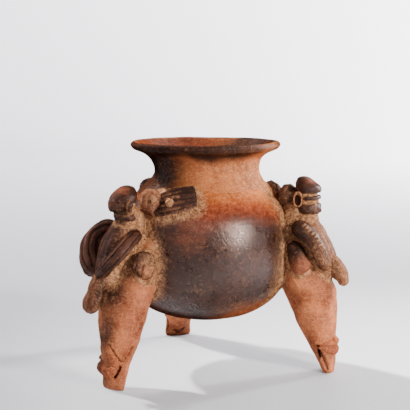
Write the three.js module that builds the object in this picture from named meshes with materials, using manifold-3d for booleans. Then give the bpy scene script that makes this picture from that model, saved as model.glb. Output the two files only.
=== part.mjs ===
// A globular clay vase on three hollow rattle legs, each leg carrying a modelled winged figure.
// Millimetres, +Z up. The vase is put together the way it is made: a bowl, a coiled neck and rim,
// three hollow legs, and the lumps, strips and pellets of clay that are luted on to them.
import * as THREE from "three";
import { mergeVertices } from "three/addons/utils/BufferGeometryUtils.js";
import Module from "manifold-3d";

const wasm = await Module();
wasm.setup();

// Driving sizes of the vessel
const BOWL_RADIUS = 88;
const BELLY_HEIGHT = 118; // height of the widest part above the ground
const BOWL_DROP = 68.2; // from the belly down to the underside
const SHOULDER_RISE = 93; // where the shoulder's curve would close, above the belly
const NECK_JOINT_RISE = 74; // the neck is luted on this far above the belly
const LOWER_FULLNESS = 2.4; // exponents of the bowl's curves: 2 is an ellipse, more is fuller
const UPPER_FULLNESS = 2.2;
const BOWL_WALL = 6.5;
const NECK_RADIUS = 54.8;
const NECK_WALL = 5.8;
const NECK_HEIGHT = 37.5;
const RIM_RADIUS = 75;
const RIM_THICKNESS = 7;
const AROUND_VESSEL = 36; // flats round the bowl and the neck

// Driving sizes of the legs
const LEG_REACH = 40.4; // the foot's middle stands this far outside the bowl's radius
const LEG_RISE = 22; // the leg runs out on the bowl this far above the belly
const LEG_THICKNESS = 53.6; // at its fullest, measured outwards from the vase's axis
const LEG_WIDTH = 48.8;
const HIP_DROP = 67; // from the leg's top down to where its sloping shoulder begins
const ANKLE_HEIGHT = 18.2;
const FOOT_LENGTH = 10.8;
const LEG_WALL = 5;
const SOLE_THICKNESS = 7.5;
const SLIT_WIDTH = 2.8;
const SLIT_LENGTH = 14;
const BAND_HEIGHT = 24.4; // the knotted band's thick lower roll, above the ground
const BAND_THICKNESS = 7.2;
const PELLET_DIAMETER = 7.8;

// Driving sizes of the figure on each leg
const FIGURE_HEIGHT = 56; // from the leg's top to the top of the cap
const TORSO_WIDTH = 38;
const TORSO_DEPTH = 30;
const HEAD_RISE = 19; // the chin, above the leg's top
const HEAD_LENGTH = 21;
const HEAD_WIDTH = 22.6;
const STRIP_THICKNESS = 2.6; // how far the jaw and the cap stand out from the head
const BROW_HEIGHT = 4;
const CAP_HEIGHT = 15;
const EAR_SIZE = 14;
const WING_HEIGHT = 21;
const WING_THICKNESS = 23;
const TAIL_WIDTH = 20;
const TAIL_THICKNESS = 12;
const PAW_THICKNESS = 13;
const BUNDLE_START = 8; // sideways from the leg's middle
const BUNDLE_THICKNESS = 13.5;
const STUD_SIZE = 7.6;

const LUTE_GAP = 0.3; // every luted piece keeps this to what it sits on
const PELLET_GAP = 0.35; // the loose pellets lie this far from the clay and from each other
const HOLLOW_ROUNDNESS = 0.97; // the hollow's flat sides cut this much into its round section

// The three legs as they stand in the view, and what differs between them. Turns are in degrees
// round the vase's axis from the leg's middle. Each figure has a wing to each side: slim is the
// share of the full thickness that it has and tip the share that its end keeps, tuck draws its tip
// towards the tail, and lift, forward and rise set its shoulder, its middle and its tip that far
// up, out and up. Shift moves the whole wing outwards, and waist is the share of its thickness that
// its middle keeps.
const LEGS = [
  {
    side: "left",
    azimuth: 226,
    footWidth: 26.6,
    sway: 3, // the foot stands this far to the side, and the thigh swings back
    slitTurn: 63,
    slitLean: -24,
    slitRise: 4, // how far the slit stands above the lowest place that it could have
    band: [-78, 38], // degrees from the leg's front that the knotted band reaches to
    bodyTurn: -5,
    headTurn: -2.2,
    headHeight: 14.5,
    headShift: 2,
    chinBack: 5, // the chin stands this far behind the brow
    earShift: 3,
    earSet: 0.48, // the ear's middle, as a share of the head's width from its middle
    earRise: 2,
    jawRise: 0,
    napeSize: 25,
    napeAside: 5,
    napeLift: 8,
    napeRise: 3,
    wings: [
      { spread: 40, tuck: 0.5, slim: 1.05, tip: 0.7, lift: 3, forward: 1.5, rise: 6, shift: 0, waist: 1 },
      { spread: 28, tuck: 1.2, slim: 0.62, tip: 0.7, lift: 0, forward: 9, rise: 7.5, shift: 0, waist: 1 },
    ],
    tailStart: 0, // how far out the tail's upper end is drawn
    tailDrop: 17,
    pawDrop: 12, // from the leg's top down to where the paw starts
    pawTurn: 64, // degrees round the leg from its front
    pawLength: 22,
    pawWidth: 31,
    bundleLength: 34.5,
    bundleWidth: 27,
    bundleEnd: 0.84, // the share of the bundle's width that its ends keep
  },
  {
    side: "right",
    azimuth: 346,
    footWidth: 25,
    sway: 0,
    slitTurn: -106,
    slitLean: 20,
    slitRise: 8,
    band: [-78, 78],
    bodyTurn: 0,
    headTurn: 0,
    headHeight: 19,
    headShift: 0,
    chinBack: 0,
    earShift: -8.5,
    earSet: 0.52,
    earRise: 0,
    jawRise: 1.7,
    napeSize: 23,
    napeAside: 3,
    napeLift: 12.5,
    napeRise: 0,
    wings: [
      { spread: 30, tuck: 0, slim: 0.86, tip: 0.45, lift: 3, forward: 5, rise: 3, shift: -2.6, waist: 0.86 },
      { spread: 30, tuck: 0, slim: 1, tip: 0.6, lift: 0, forward: -1.5, rise: 0, shift: 0, waist: 1 },
    ],
    tailStart: 2.5,
    tailDrop: 2,
    pawDrop: 8.5,
    pawTurn: 75,
    pawLength: 28.5,
    pawWidth: 19,
    bundleLength: 27,
    bundleWidth: 23,
    bundleEnd: 0.8,
  },
  {
    side: "back",
    azimuth: 104,
    footWidth: 26.8,
    sway: 0,
    slitTurn: 104,
    slitLean: 0,
    slitRise: 4,
    band: [-78, 78],
    bodyTurn: 0,
    headTurn: 0,
    headHeight: 18,
    headShift: 0,
    chinBack: 0,
    earShift: -4,
    earSet: 0.52,
    earRise: 0,
    jawRise: 1,
    napeSize: 23,
    napeAside: 3,
    napeLift: 9,
    napeRise: 0,
    wings: [
      { spread: 31, tuck: 0.2, slim: 1, tip: 0.6, lift: 0, forward: 0, rise: 0, shift: 0, waist: 1 },
      { spread: 31, tuck: 0.2, slim: 1, tip: 0.6, lift: 0, forward: 0, rise: 0, shift: 0, waist: 1 },
    ],
    tailStart: 0,
    tailDrop: 4,
    pawDrop: 12,
    pawTurn: 66,
    pawLength: 25,
    pawWidth: 19,
    bundleLength: 46,
    bundleWidth: 27,
    bundleEnd: 0.6,
  },
];

const radians = THREE.MathUtils.degToRad;
const V = (x, y, z) => new THREE.Vector3(x, y, z);
const SIDEWAYS = V(0, 1, 0);
const UPWARDS = V(0, 0, 1);

// Solids from geometry, and back

function solidFrom(geometry) {
  const bare = geometry.clone();
  bare.deleteAttribute("normal");
  bare.deleteAttribute("uv");
  const merged = mergeVertices(bare, 1e-4);
  return new wasm.Manifold(
    new wasm.Mesh({
      numProp: 3,
      vertProperties: merged.attributes.position.array,
      triVerts: new Uint32Array(merged.index.array),
    }),
  );
}

function geometryFrom(solid) {
  const mesh = solid.getMesh();
  const geometry = new THREE.BufferGeometry();
  geometry.setAttribute("position", new THREE.BufferAttribute(mesh.vertProperties, 3));
  geometry.setIndex(new THREE.BufferAttribute(mesh.triVerts, 1));
  geometry.computeVertexNormals();
  return geometry;
}

// A cut can leave slivers behind: the piece is the largest body that is left.
function cutBy(solid, cutters) {
  const bodies = cutters.reduce((left, cutter) => left.subtract(cutter), solid).decompose();
  return bodies.sort((a, b) => b.volume() - a.volume())[0];
}

// Skins: rings of points joined into one closed surface

// Rings run along the piece, each turning the same way; the two tips close its ends.
function skin(rings, firstTip, lastTip) {
  const sides = rings[0].length;
  const points = [firstTip, ...rings.flat(), lastTip];
  const last = points.length - 1;
  const faces = [];
  const at = (ring, side) => 1 + ring * sides + (side % sides);
  for (let side = 0; side < sides; side++) {
    faces.push(0, at(0, side + 1), at(0, side));
    for (let ring = 0; ring < rings.length - 1; ring++) {
      const [a, b] = [at(ring, side), at(ring, side + 1)];
      const [c, d] = [at(ring + 1, side + 1), at(ring + 1, side)];
      faces.push(a, b, c, a, c, d);
    }
    faces.push(last, at(rings.length - 1, side), at(rings.length - 1, side + 1));
  }
  const geometry = new THREE.BufferGeometry().setFromPoints(points);
  geometry.setIndex(faces);
  return geometry;
}

// Level sections stacked upwards. A row is [height, middle, half length outwards, half width], and
// may end with how far the middle lies to the side.
function column(rows, sides, rings, grow = 0) {
  const spine = rows.map(([z, x, , , y = 0]) => V(x, y, z));
  const middles = new THREE.CatmullRomCurve3(spine, false, "chordal");
  const halves = new THREE.CatmullRomCurve3(rows.map(([z, , a, b]) => V(a, b, z)), false, "chordal");
  const loops = [];
  for (let i = 0; i <= rings; i++) {
    const [middle, half] = [middles.getPoint(i / rings), halves.getPoint(i / rings)];
    const lift = i === 0 ? -grow : i === rings ? grow : 0;
    const loop = [];
    for (let side = 0; side < sides; side++) {
      const turn = (side / sides) * 2 * Math.PI;
      const x = middle.x + (half.x + grow) * Math.cos(turn);
      const y = middle.y + (half.y + grow) * Math.sin(turn);
      loop.push(V(x, y, middle.z + lift));
    }
    loops.push(loop);
  }
  const tip = (loop) => loop[0].clone().add(loop[sides / 2]).multiplyScalar(0.5);
  return skin(loops, tip(loops[0]), tip(loops[rings]));
}

// A round-ended roll of clay along a path. A station is [out, sideways, up, half width, half depth];
// the half width is measured along `across`. Ribs are ridges that run along the roll.
function roll(stations, { across, sides = 12, rings = 8, ribs = 0, ribDepth = 0, blunt = 1 }, grow = 0) {
  const path = new THREE.CatmullRomCurve3(stations.map(([x, y, z]) => V(x, y, z)));
  const halves = new THREE.CatmullRomCurve3(stations.map(([, , , w, d]) => V(w, d, 0)));
  const length = path.getLength();
  const first = stations[0];
  const last = stations[stations.length - 1];
  const startRound = (Math.min(first[3], first[4]) * blunt) / length;
  const endRound = (Math.min(last[3], last[4]) * blunt) / length;
  const taper = (u) => {
    const start = Math.min(1, u / startRound);
    const end = Math.min(1, (1 - u) / endRound);
    return Math.sqrt(1 - (1 - start) ** 2) * Math.sqrt(1 - (1 - end) ** 2);
  };
  const loops = [];
  for (let i = 1; i < rings; i++) {
    const u = (1 - Math.cos((Math.PI * i) / rings)) / 2;
    const along = path.getTangent(u);
    const side = across.clone().addScaledVector(along, -across.dot(along)).normalize();
    const normal = along.clone().cross(side);
    const [middle, half] = [path.getPoint(u), halves.getPoint(u)];
    const loop = [];
    for (let k = 0; k < sides; k++) {
      const turn = (k / sides) * 2 * Math.PI;
      const rib = 1 + ribDepth * Math.cos(ribs * turn);
      const wide = (half.x * taper(u) * rib + grow) * Math.cos(turn);
      const deep = (half.y * taper(u) * rib + grow) * Math.sin(turn);
      loop.push(middle.clone().addScaledVector(side, wide).addScaledVector(normal, deep));
    }
    loops.push(loop);
  }
  const start = path.getPoint(0).addScaledVector(path.getTangent(0), -grow);
  const end = path.getPoint(1).addScaledVector(path.getTangent(1), grow);
  return skin(loops, start, end);
}

function lump(centre, halves, sides, grow = 0) {
  const geometry = new THREE.SphereGeometry(1, sides, Math.ceil(sides * 0.66));
  geometry.scale(...halves.map((half) => half + grow));
  return geometry.translate(...centre);
}

// The vessel

const bowlBottom = BELLY_HEIGHT - BOWL_DROP;
const neckFoot = BELLY_HEIGHT + NECK_JOINT_RISE;
const rimTop = neckFoot + NECK_HEIGHT;

// The bowl's radius at a height above the ground, on the surface `inset` inside the outer one.
function bowlRadius(height, inset = 0) {
  const rise = height - BELLY_HEIGHT;
  const full = rise < 0 ? LOWER_FULLNESS : UPPER_FULLNESS;
  const reach = rise < 0 ? BOWL_DROP - inset : SHOULDER_RISE - inset / 3;
  const share = Math.max(0, 1 - (Math.abs(rise) / reach) ** full);
  return (BOWL_RADIUS - inset) * share ** (1 / full);
}

// Outline points of the bowl from the bottom's middle up to the neck, on the surface `inset` inside.
function bowlOutline(inset) {
  const bottom = bowlBottom + inset;
  const points = [new THREE.Vector2(0, bottom)];
  const [lower, upper] = [6, 5];
  for (let i = 1; i <= lower; i++) {
    const height = BELLY_HEIGHT - (BELLY_HEIGHT - bottom) * Math.cos((Math.PI / 2) * (i / lower));
    points.push(new THREE.Vector2(bowlRadius(height, inset), height));
  }
  for (let i = 1; i <= upper; i++) {
    const height = BELLY_HEIGHT + NECK_JOINT_RISE * (i / upper);
    points.push(new THREE.Vector2(bowlRadius(height, inset), height));
  }
  return points;
}

function turned(outline) {
  return new THREE.LatheGeometry(outline, AROUND_VESSEL).rotateX(Math.PI / 2);
}

function bowlGeometry() {
  return turned([...bowlOutline(0), ...bowlOutline(BOWL_WALL).reverse()]);
}

// The neck's outside, from its foot on the shoulder to the rolled lip.
function neckOutside(foot) {
  const curve = new THREE.SplineCurve([
    new THREE.Vector2(bowlRadius(neckFoot), foot),
    new THREE.Vector2(NECK_RADIUS, neckFoot + NECK_HEIGHT * 0.3),
    new THREE.Vector2(NECK_RADIUS + RIM_THICKNESS * 0.31, rimTop - RIM_THICKNESS * 2.45),
    new THREE.Vector2(RIM_RADIUS - RIM_THICKNESS * 1.06, rimTop - RIM_THICKNESS * 1.33),
    new THREE.Vector2(RIM_RADIUS - RIM_THICKNESS * 0.26, rimTop - RIM_THICKNESS * 0.88),
    new THREE.Vector2(RIM_RADIUS, rimTop - RIM_THICKNESS * 0.42),
  ]);
  return curve.getPoints(8);
}

function neckInside(foot) {
  const curve = new THREE.SplineCurve([
    new THREE.Vector2(RIM_RADIUS - RIM_THICKNESS * 0.6, rimTop),
    new THREE.Vector2(RIM_RADIUS - RIM_THICKNESS * 1.43, rimTop - RIM_THICKNESS * 0.31),
    new THREE.Vector2(NECK_RADIUS + RIM_THICKNESS * 0.06, rimTop - RIM_THICKNESS * 1.6),
    new THREE.Vector2(NECK_RADIUS - NECK_WALL, neckFoot + NECK_HEIGHT * 0.3),
    new THREE.Vector2(bowlRadius(neckFoot, BOWL_WALL), foot),
  ]);
  return curve.getPoints(6);
}

function neckGeometry() {
  const foot = neckFoot + LUTE_GAP;
  const lip = new THREE.Vector2(RIM_RADIUS - RIM_THICKNESS * 0.17, rimTop - RIM_THICKNESS * 0.1);
  const outline = [...neckOutside(foot), lip, ...neckInside(foot)];
  return turned([...outline, outline[0].clone()]);
}

// The whole vessel's outside, filled and grown by the luting gap: it trims what is luted on.
function vesselCutter() {
  const neck = neckOutside(neckFoot).slice(1);
  const grown = neck.map((p) => new THREE.Vector2(p.x + LUTE_GAP, p.y));
  return turned([...bowlOutline(-LUTE_GAP), ...grown, new THREE.Vector2(0, rimTop)]);
}

// A leg, in its own frame: +X points outwards from the vase's axis, +Y sideways. Places in it are
// shares of the leg's reach beyond the foot's middle, and of the figure's height above the leg.

const legTop = BELLY_HEIGHT + LEG_RISE;
const hip = legTop - HIP_DROP;
const out = (share) => BOWL_RADIUS + LEG_REACH * (1 + share);
const up = (share) => legTop + FIGURE_HEIGHT * share;

// How much of a leg's sway each of its sections takes, from the sole up.
const SWAY = [1, 0.9, 0.5, 0, -0.4, -0.6, -0.6, -0.4, -0.2];

// The leg's sections, from the sole up: [height, middle, half length, half width, sideways].
function legRows(leg) {
  const shaft = (share) => ANKLE_HEIGHT + (hip - ANKLE_HEIGHT) * share;
  const [long, wide] = [LEG_THICKNESS / 2, LEG_WIDTH / 2];
  const rows = [
    [0, out(0), FOOT_LENGTH * 0.5, leg.footWidth * 0.5],
    [ANKLE_HEIGHT * 0.22, out(-0.015), FOOT_LENGTH * 0.61, leg.footWidth * 0.53],
    [ANKLE_HEIGHT, out(-0.114), long * 0.41, wide * 0.57],
    [shaft(0.36), out(-0.248), long * 0.62, wide * 0.76],
    [shaft(0.71), out(-0.356), long * 0.82, wide * 0.9],
    [hip, out(-0.44), long * 0.93, wide * 0.97],
    [hip + HIP_DROP * 0.18, out(-0.525), long, wide],
    [hip + HIP_DROP * 0.35, out(-0.653), long * 0.92, wide * 0.99],
    [hip + HIP_DROP * 0.56, out(-0.767), long * 0.67, wide * 0.93],
    [hip + HIP_DROP * 0.75, out(-0.866), long * 0.47, wide * 0.82],
    [hip + HIP_DROP * 0.9, out(-0.955), long * 0.27, wide * 0.66],
    [legTop, out(-1.027), long * 0.13, wide * 0.45],
  ];
  return rows.map((row, i) => [...row, leg.sway * (SWAY[i] ?? 0)]);
}

// The leg's section at a height, read off its rows.
function legSection(leg, height) {
  const rows = legRows(leg);
  const i = Math.max(1, rows.findIndex(([z]) => z >= height));
  const [low, high] = [rows[i - 1], rows[i]];
  const share = (height - low[0]) / (high[0] - low[0]);
  return low.map((value, k) => value + (high[k] - value) * share);
}

const legShape = (leg, grow) => column(legRows(leg), 18, 11, grow);

// The hollow leaves one wall all round. Its top opens on the bowl, which closes it.
function hollowGeometry(leg) {
  const ceiling = legTop - HIP_DROP * 0.3;
  const rows = [0, 0.1, 0.25, 0.42, 0.58, 0.72, 0.86, 1].map((share) => {
    const [z, x, a, b, y] = legSection(leg, SOLE_THICKNESS + (ceiling - SOLE_THICKNESS) * share);
    return [z, x, a - LEG_WALL, b - LEG_WALL, y];
  });
  return column(rows, 12, 7);
}

// The rattle slit: a slot through the foot's wall, turned about the leg's middle line.
function slitGeometry(leg) {
  const [z, x, , b, y] = legSection(leg, SOLE_THICKNESS + SLIT_LENGTH * 0.42 + leg.slitRise);
  const slot = new THREE.BoxGeometry(2 * b, SLIT_WIDTH, SLIT_LENGTH);
  slot.translate(b, 0, 0).rotateX(radians(leg.slitLean)).rotateZ(radians(leg.slitTurn));
  return slot.translate(x, y, z);
}

// A roll of the knotted band on the front of the ankle, reach being the share of its sweep.
function ankleRoll(leg, height, thickness, reach) {
  const [z, x, a, b, y] = legSection(leg, height);
  const [middle, half] = [(leg.band[1] + leg.band[0]) / 2, (leg.band[1] - leg.band[0]) / 2];
  const stations = [-1, -0.5, 0, 0.5, 1].map((share) => {
    const turn = radians(middle + half * reach * share);
    const thin = (thickness / 2) * (1 - 0.35 * share ** 2);
    return [x + a * Math.cos(turn), y + b * Math.sin(turn), z, thin, thin];
  });
  return solidFrom(roll(stations, { across: UPWARDS, sides: 6, rings: 7 }));
}

function ankleBand(leg) {
  const lower = ankleRoll(leg, BAND_HEIGHT, BAND_THICKNESS, 1);
  const above = BAND_HEIGHT + BAND_THICKNESS * 0.8;
  return lower.add(ankleRoll(leg, above, BAND_THICKNESS * 0.75, 0.85));
}

// The two loose pellets lie side by side, as low in the leg's hollow as they go.

// Whether a ball at [x, y, z] keeps `gap` to the wall of the leg's hollow, below its middle.
function clearsHollow(leg, [x, y, z], radius, gap) {
  const reach = radius + gap;
  if (z - reach < SOLE_THICKNESS) return false;
  const steps = [0, 1, 2, 3, 4, 5, 6, 7];
  return steps.every((step) => {
    const dip = (Math.PI / 2) * (step / steps.length);
    const [, middle, a, b, sideways] = legSection(leg, z - reach * Math.sin(dip));
    const slice = reach * Math.cos(dip);
    return steps.every((point) => {
      const turn = 2 * Math.PI * (point / steps.length);
      const u = (x + slice * Math.cos(turn) - middle) / (a - LEG_WALL);
      const v = (y + slice * Math.sin(turn) - sideways) / (b - LEG_WALL);
      return Math.hypot(u, v) < HOLLOW_ROUNDNESS;
    });
  });
}

function pelletPlace(leg, hand) {
  const radius = PELLET_DIAMETER / 2;
  const place = (height) => {
    const [z, x, , , y] = legSection(leg, height);
    return [x + radius * 0.13, y + hand * (radius + PELLET_GAP / 2), z];
  };
  let height = SOLE_THICKNESS + radius;
  while (!clearsHollow(leg, place(height), radius, PELLET_GAP) && height < legTop) {
    height += PELLET_GAP / 2;
  }
  return place(height);
}

// The figure on a leg, in the leg's frame. Each shape can be grown, to trim what is luted to it.

// A place on the bowl, at a height and a distance sideways, lifted off its surface.
function onBowl(height, sideways, lift) {
  const reach = bowlRadius(height) + lift;
  return [Math.sqrt(Math.max(0, reach ** 2 - sideways ** 2)), sideways, height];
}

function torso(leg, grow) {
  const [wide, deep] = [TORSO_WIDTH / 2, TORSO_DEPTH / 2];
  const stations = [
    [out(-0.9), 0, up(0.56), wide * 0.5, deep * 0.76],
    [out(-0.82), 0, up(0.3), wide * 0.66, deep * 0.96],
    [out(-0.69), 0, up(0.11), wide * 0.84, deep * 1.1],
    [out(-0.445), 0, up(-0.11), wide, deep],
    [out(-0.27), 0, up(-0.36), wide * 0.92, deep * 0.92],
    [out(-0.075), 0, up(-0.61), wide * 0.62, deep * 0.72],
    [out(0.075), 0, up(-0.77), wide * 0.36, deep * 0.5],
  ];
  return roll(stations, { across: SIDEWAYS, sides: 14, rings: 8 }, grow);
}

// The head is a stump with a domed cap, a jaw and a brow strip luted round its front. Heights in
// it are shares of its own height above the chin.

const headMiddle = (leg) => out(-0.565) + leg.headShift;
const onHead = (leg, share) => legTop + HEAD_RISE + leg.headHeight * share;

function headCore(leg, grow) {
  const [long, wide] = [HEAD_LENGTH / 2, HEAD_WIDTH / 2];
  const middle = headMiddle(leg);
  const rows = [
    [onHead(leg, -0.63), middle - leg.chinBack, long * 0.9, wide * 0.8],
    [onHead(leg, 0), middle + long * 0.06 - leg.chinBack * 0.8, long * 0.9, wide * 0.88],
    [onHead(leg, 0.47), middle - leg.chinBack * 0.3, long, wide],
    [onHead(leg, 1), middle - long * 0.04, long * 0.98, wide],
    [onHead(leg, 1.32), middle - long * 0.08, long * 0.7, wide * 0.75],
  ];
  return column(rows, 12, 4, grow);
}

// A ring round the head, standing out from it. A row is [share of the head's height, share of the
// strip's thickness].
function headStrip(leg, rows, grow, back = 0) {
  const rings = rows.map(([share, thick, rise = 0]) => [
    onHead(leg, share) + rise,
    headMiddle(leg) - back,
    HEAD_LENGTH / 2 + STRIP_THICKNESS * thick,
    HEAD_WIDTH / 2 + STRIP_THICKNESS * thick,
  ]);
  return column(rings, 14, rings.length - 1, grow);
}

function jaw(leg, grow) {
  const rows = [
    [-0.08, 0.1],
    [0, 0.75],
    [0.18, 1],
    [0.37, 0.95],
    [0.45, 0.4],
  ].map((row) => [...row, leg.jawRise]);
  return headStrip(leg, rows, grow, leg.chinBack);
}

function brow(leg, grow) {
  const foot = 1 - BROW_HEIGHT / leg.headHeight;
  const rows = [
    [foot, 0.35],
    [foot * 0.75 + 0.25, 0.85],
    [foot * 0.25 + 0.75, 0.85],
    [1, 0.35],
  ];
  return headStrip(leg, rows, grow);
}

function cap(leg, grow) {
  const [long, wide] = [HEAD_LENGTH / 2 + STRIP_THICKNESS, HEAD_WIDTH / 2 + STRIP_THICKNESS];
  const middle = headMiddle(leg);
  const foot = onHead(leg, 1) + STRIP_THICKNESS;
  const rows = [
    [foot, middle, long * 0.92, wide * 0.92],
    [foot + CAP_HEIGHT * 0.2, middle + long * 0.02, long, wide],
    [foot + CAP_HEIGHT * 0.5, middle - long * 0.03, long * 0.9, wide * 0.92],
    [foot + CAP_HEIGHT * 0.8, middle - long * 0.09, long * 0.64, wide * 0.68],
    [foot + CAP_HEIGHT, middle - long * 0.15, long * 0.24, wide * 0.3],
  ];
  return column(rows, 12, 5, grow);
}

function nape(leg, grow) {
  const place = onBowl(onHead(leg, 0.88) + leg.napeRise, leg.napeAside, leg.napeLift);
  return lump(place, [0.44, 0.48, 0.5].map((share) => leg.napeSize * share), 12, grow);
}

function ear(leg, hand, grow) {
  const ring = new THREE.TorusGeometry(EAR_SIZE * 0.35, EAR_SIZE * 0.15 + grow, 5, 10);
  ring.scale(0.84, 1.22, 1).rotateX(Math.PI / 2).rotateZ(radians(hand * 14));
  const height = onHead(leg, 0.76) + leg.earRise;
  return ring.translate(headMiddle(leg) + leg.earShift, hand * HEAD_WIDTH * leg.earSet, height);
}

function wing(leg, hand, grow) {
  const { spread, tuck, slim, tip, lift, forward, rise, shift, waist } = leg.wings[hand < 0 ? 0 : 1];
  const [high, thick] = [(WING_HEIGHT / 2) * slim, (WING_THICKNESS / 2) * slim];
  const aside = hand * spread;
  const low = (1 + tip) / 2;
  const stations = [
    [out(-0.79), aside * 0.46, up(0.07) + lift, high * 0.8, thick * 0.8],
    [out(-0.62) + forward * 0.66, aside * 0.68, up(0.01) + lift + rise * 0.2, high * 0.95, thick],
    [
      out(-0.35) + forward,
      aside * 0.8,
      up(-0.18) + lift * 0.7 + rise * 0.45,
      high * waist,
      thick * waist,
    ],
    [
      out(-0.13 + tuck * 0.06) + forward * 0.6,
      aside * (0.68 - tuck * 0.14),
      up(-0.45) + rise * 0.7,
      high * low * 1.08,
      thick * low * 1.12,
    ],
    [out(tuck * 0.14), aside * (0.36 - tuck * 0.3), up(-0.66 - tuck * 0.06) + rise, high * tip, thick * tip],
  ].map(([x, ...rest]) => [x + shift, ...rest]);
  const shape = { across: V(0.66, 0, 0.75), sides: 15, rings: 8, ribs: 5, ribDepth: 0.07 };
  return roll(stations, shape, grow);
}

function tail(leg, grow) {
  const drop = leg.tailDrop;
  const [wide, thick] = [TAIL_WIDTH / 2, TAIL_THICKNESS / 2];
  const stations = [
    [out(0.025) + leg.tailStart, 0, up(-0.57) + leg.tailStart, wide * 0.7, thick * 0.8],
    [out(0.2) + leg.tailStart, 0, up(-0.68) - drop * 0.3, wide * 0.95, thick],
    [out(0.32) + drop * 0.1, 0, up(-0.8) - drop * 0.75, wide, thick],
    [out(0.35) + drop * 0.16, 0, up(-0.91) - drop, wide * 0.8, thick * 0.9],
  ];
  return roll(stations, { across: SIDEWAYS, sides: 10, rings: 7 }, grow);
}

// A paw lies on the leg's side, in the crook between the leg and the bowl.
function paw(leg, hand, grow) {
  const [wide, thick] = [leg.pawWidth / 2, PAW_THICKNESS / 2];
  const turn = radians(leg.pawTurn);
  const lift = thick * 0.25;
  const station = (share, w, d) => {
    const [z, x, a, b, y] = legSection(leg, legTop - leg.pawDrop - leg.pawLength * share);
    const sideways = y + hand * (b + lift) * Math.sin(turn);
    return [x + (a + lift) * Math.cos(turn), sideways, z, wide * w, thick * d];
  };
  const stations = [
    station(0, 0.66, 0.8),
    station(0.4, 0.9, 1),
    station(0.8, 1, 1),
    station(1, 0.85, 0.85),
  ];
  return roll(stations, { across: V(1, 0, 0.3), sides: 10, rings: 6 }, grow);
}

// The striated bundle that lies on the shoulder beside the nape, and the pellet stuck on it.
function bundle(leg, grow) {
  const [wide, thick] = [leg.bundleWidth / 2, BUNDLE_THICKNESS / 2];
  const station = (height, along, w, d) => {
    const place = onBowl(up(height), BUNDLE_START + leg.bundleLength * along, thick * 0.2);
    return [...place, wide * w, thick * d];
  };
  const stations = [
    station(0.536, 0, leg.bundleEnd, 0.75),
    station(0.59, 0.28, 0.95, 1),
    station(0.65, 0.56, 1, 1),
    station(0.69, 0.82, (1 + leg.bundleEnd) / 2, 0.95),
    station(0.72, 1, leg.bundleEnd, 0.85),
  ];
  const across = V(-0.46, -0.2, 0.86);
  return roll(stations, { across, sides: 15, rings: 9, ribs: 5, ribDepth: 0.06, blunt: 0.35 }, grow);
}

function stud(leg, grow) {
  const along = BUNDLE_START + leg.bundleLength * 0.53;
  const half = STUD_SIZE / 2;
  return lump(onBowl(up(0.6), along, BUNDLE_THICKNESS * 0.6), [half, half, half], 8, grow);
}

// What is luted on, in the order it goes on: each piece is trimmed by all that came before it.
// A pair has one piece to each side. The turn is what the piece shares of the figure's own turns.
const FIGURE = [
  { name: "torso", shape: torso, turn: "bodyTurn" },
  { name: "head", shape: headCore, turn: "headTurn" },
  { name: "cap", shape: cap, turn: "headTurn", slip: true },
  { name: "brow", shape: brow, turn: "headTurn", slip: true, openBehind: true },
  { name: "jaw", shape: jaw, turn: "headTurn", slip: true, openBehind: true },
  { name: "nape", shape: nape, slip: true },
  { name: "ear", pair: ear, turn: "headTurn" },
  { name: "wing", pair: wing, turn: "bodyTurn", slip: true },
  { name: "tail", shape: tail, turn: "bodyTurn" },
  { name: "paw", pair: paw },
  { name: "bundle", shape: bundle, slip: true },
  { name: "stud", shape: stud },
];

// The strips go round the front of the head only, so their back is cut away.
function behindFace(leg) {
  const size = 4 * HEAD_WIDTH;
  const box = new THREE.BoxGeometry(size, size, size);
  return box.translate(headMiddle(leg) - HEAD_LENGTH * 0.3 - size / 2, 0, onHead(leg, 0.5));
}

const materials = {
  clay: new THREE.MeshStandardMaterial({ color: 0xb5713f, roughness: 0.85, metalness: 0 }),
  slip: new THREE.MeshStandardMaterial({ color: 0x3d2a22, roughness: 0.62, metalness: 0 }),
  burnish: new THREE.MeshStandardMaterial({ color: 0x4a3028, roughness: 0.45, metalness: 0 }),
};

function named(name, solid, material) {
  const mesh = new THREE.Mesh(geometryFrom(solid), materials[material]);
  mesh.name = name;
  return mesh;
}

function pelletMeshes(leg) {
  return [-1, 1].map((hand, i) => {
    const ball = new THREE.IcosahedronGeometry(PELLET_DIAMETER / 2, 1);
    ball.translate(...pelletPlace(leg, hand));
    return named(`pellet_${leg.side}_${i + 1}`, solidFrom(ball), "clay");
  });
}

// The luted pieces of one figure, each cut back from the cutters, which grow by each of them.
function figureMeshes(leg, cutters) {
  return FIGURE.flatMap(({ name, shape, pair, turn, slip, openBehind }) =>
    (pair ? [-1, 1] : [0]).map((hand) => {
      const placed = (geometry) => solidFrom(geometry.rotateZ(radians(leg[turn] ?? 0)));
      const grown = (grow) => placed(pair ? pair(leg, hand, grow) : shape(leg, grow));
      const back = openBehind ? [placed(behindFace(leg))] : [];
      const solid = cutBy(grown(0), [...cutters, ...back]);
      cutters.push(back.reduce((whole, box) => whole.subtract(box), grown(LUTE_GAP)));
      const number = pair ? `_${hand < 0 ? 1 : 2}` : "";
      return named(`${name}_${leg.side}${number}`, solid, slip ? "slip" : "clay");
    }),
  );
}

function legGroup(leg) {
  const group = new THREE.Group();
  group.rotation.z = radians(leg.azimuth);
  const vessel = solidFrom(vesselCutter().rotateZ(-radians(leg.azimuth)));

  const hollow = solidFrom(hollowGeometry(leg)).add(solidFrom(slitGeometry(leg)));
  const shell = cutBy(solidFrom(legShape(leg, 0)), [vessel, hollow]);
  group.add(named(`leg_${leg.side}`, shell, "clay"));

  const cutters = [vessel, solidFrom(legShape(leg, LUTE_GAP))];
  group.add(named(`ankle_band_${leg.side}`, cutBy(ankleBand(leg), cutters), "clay"));
  group.add(...figureMeshes(leg, cutters), ...pelletMeshes(leg));
  return group;
}

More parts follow.
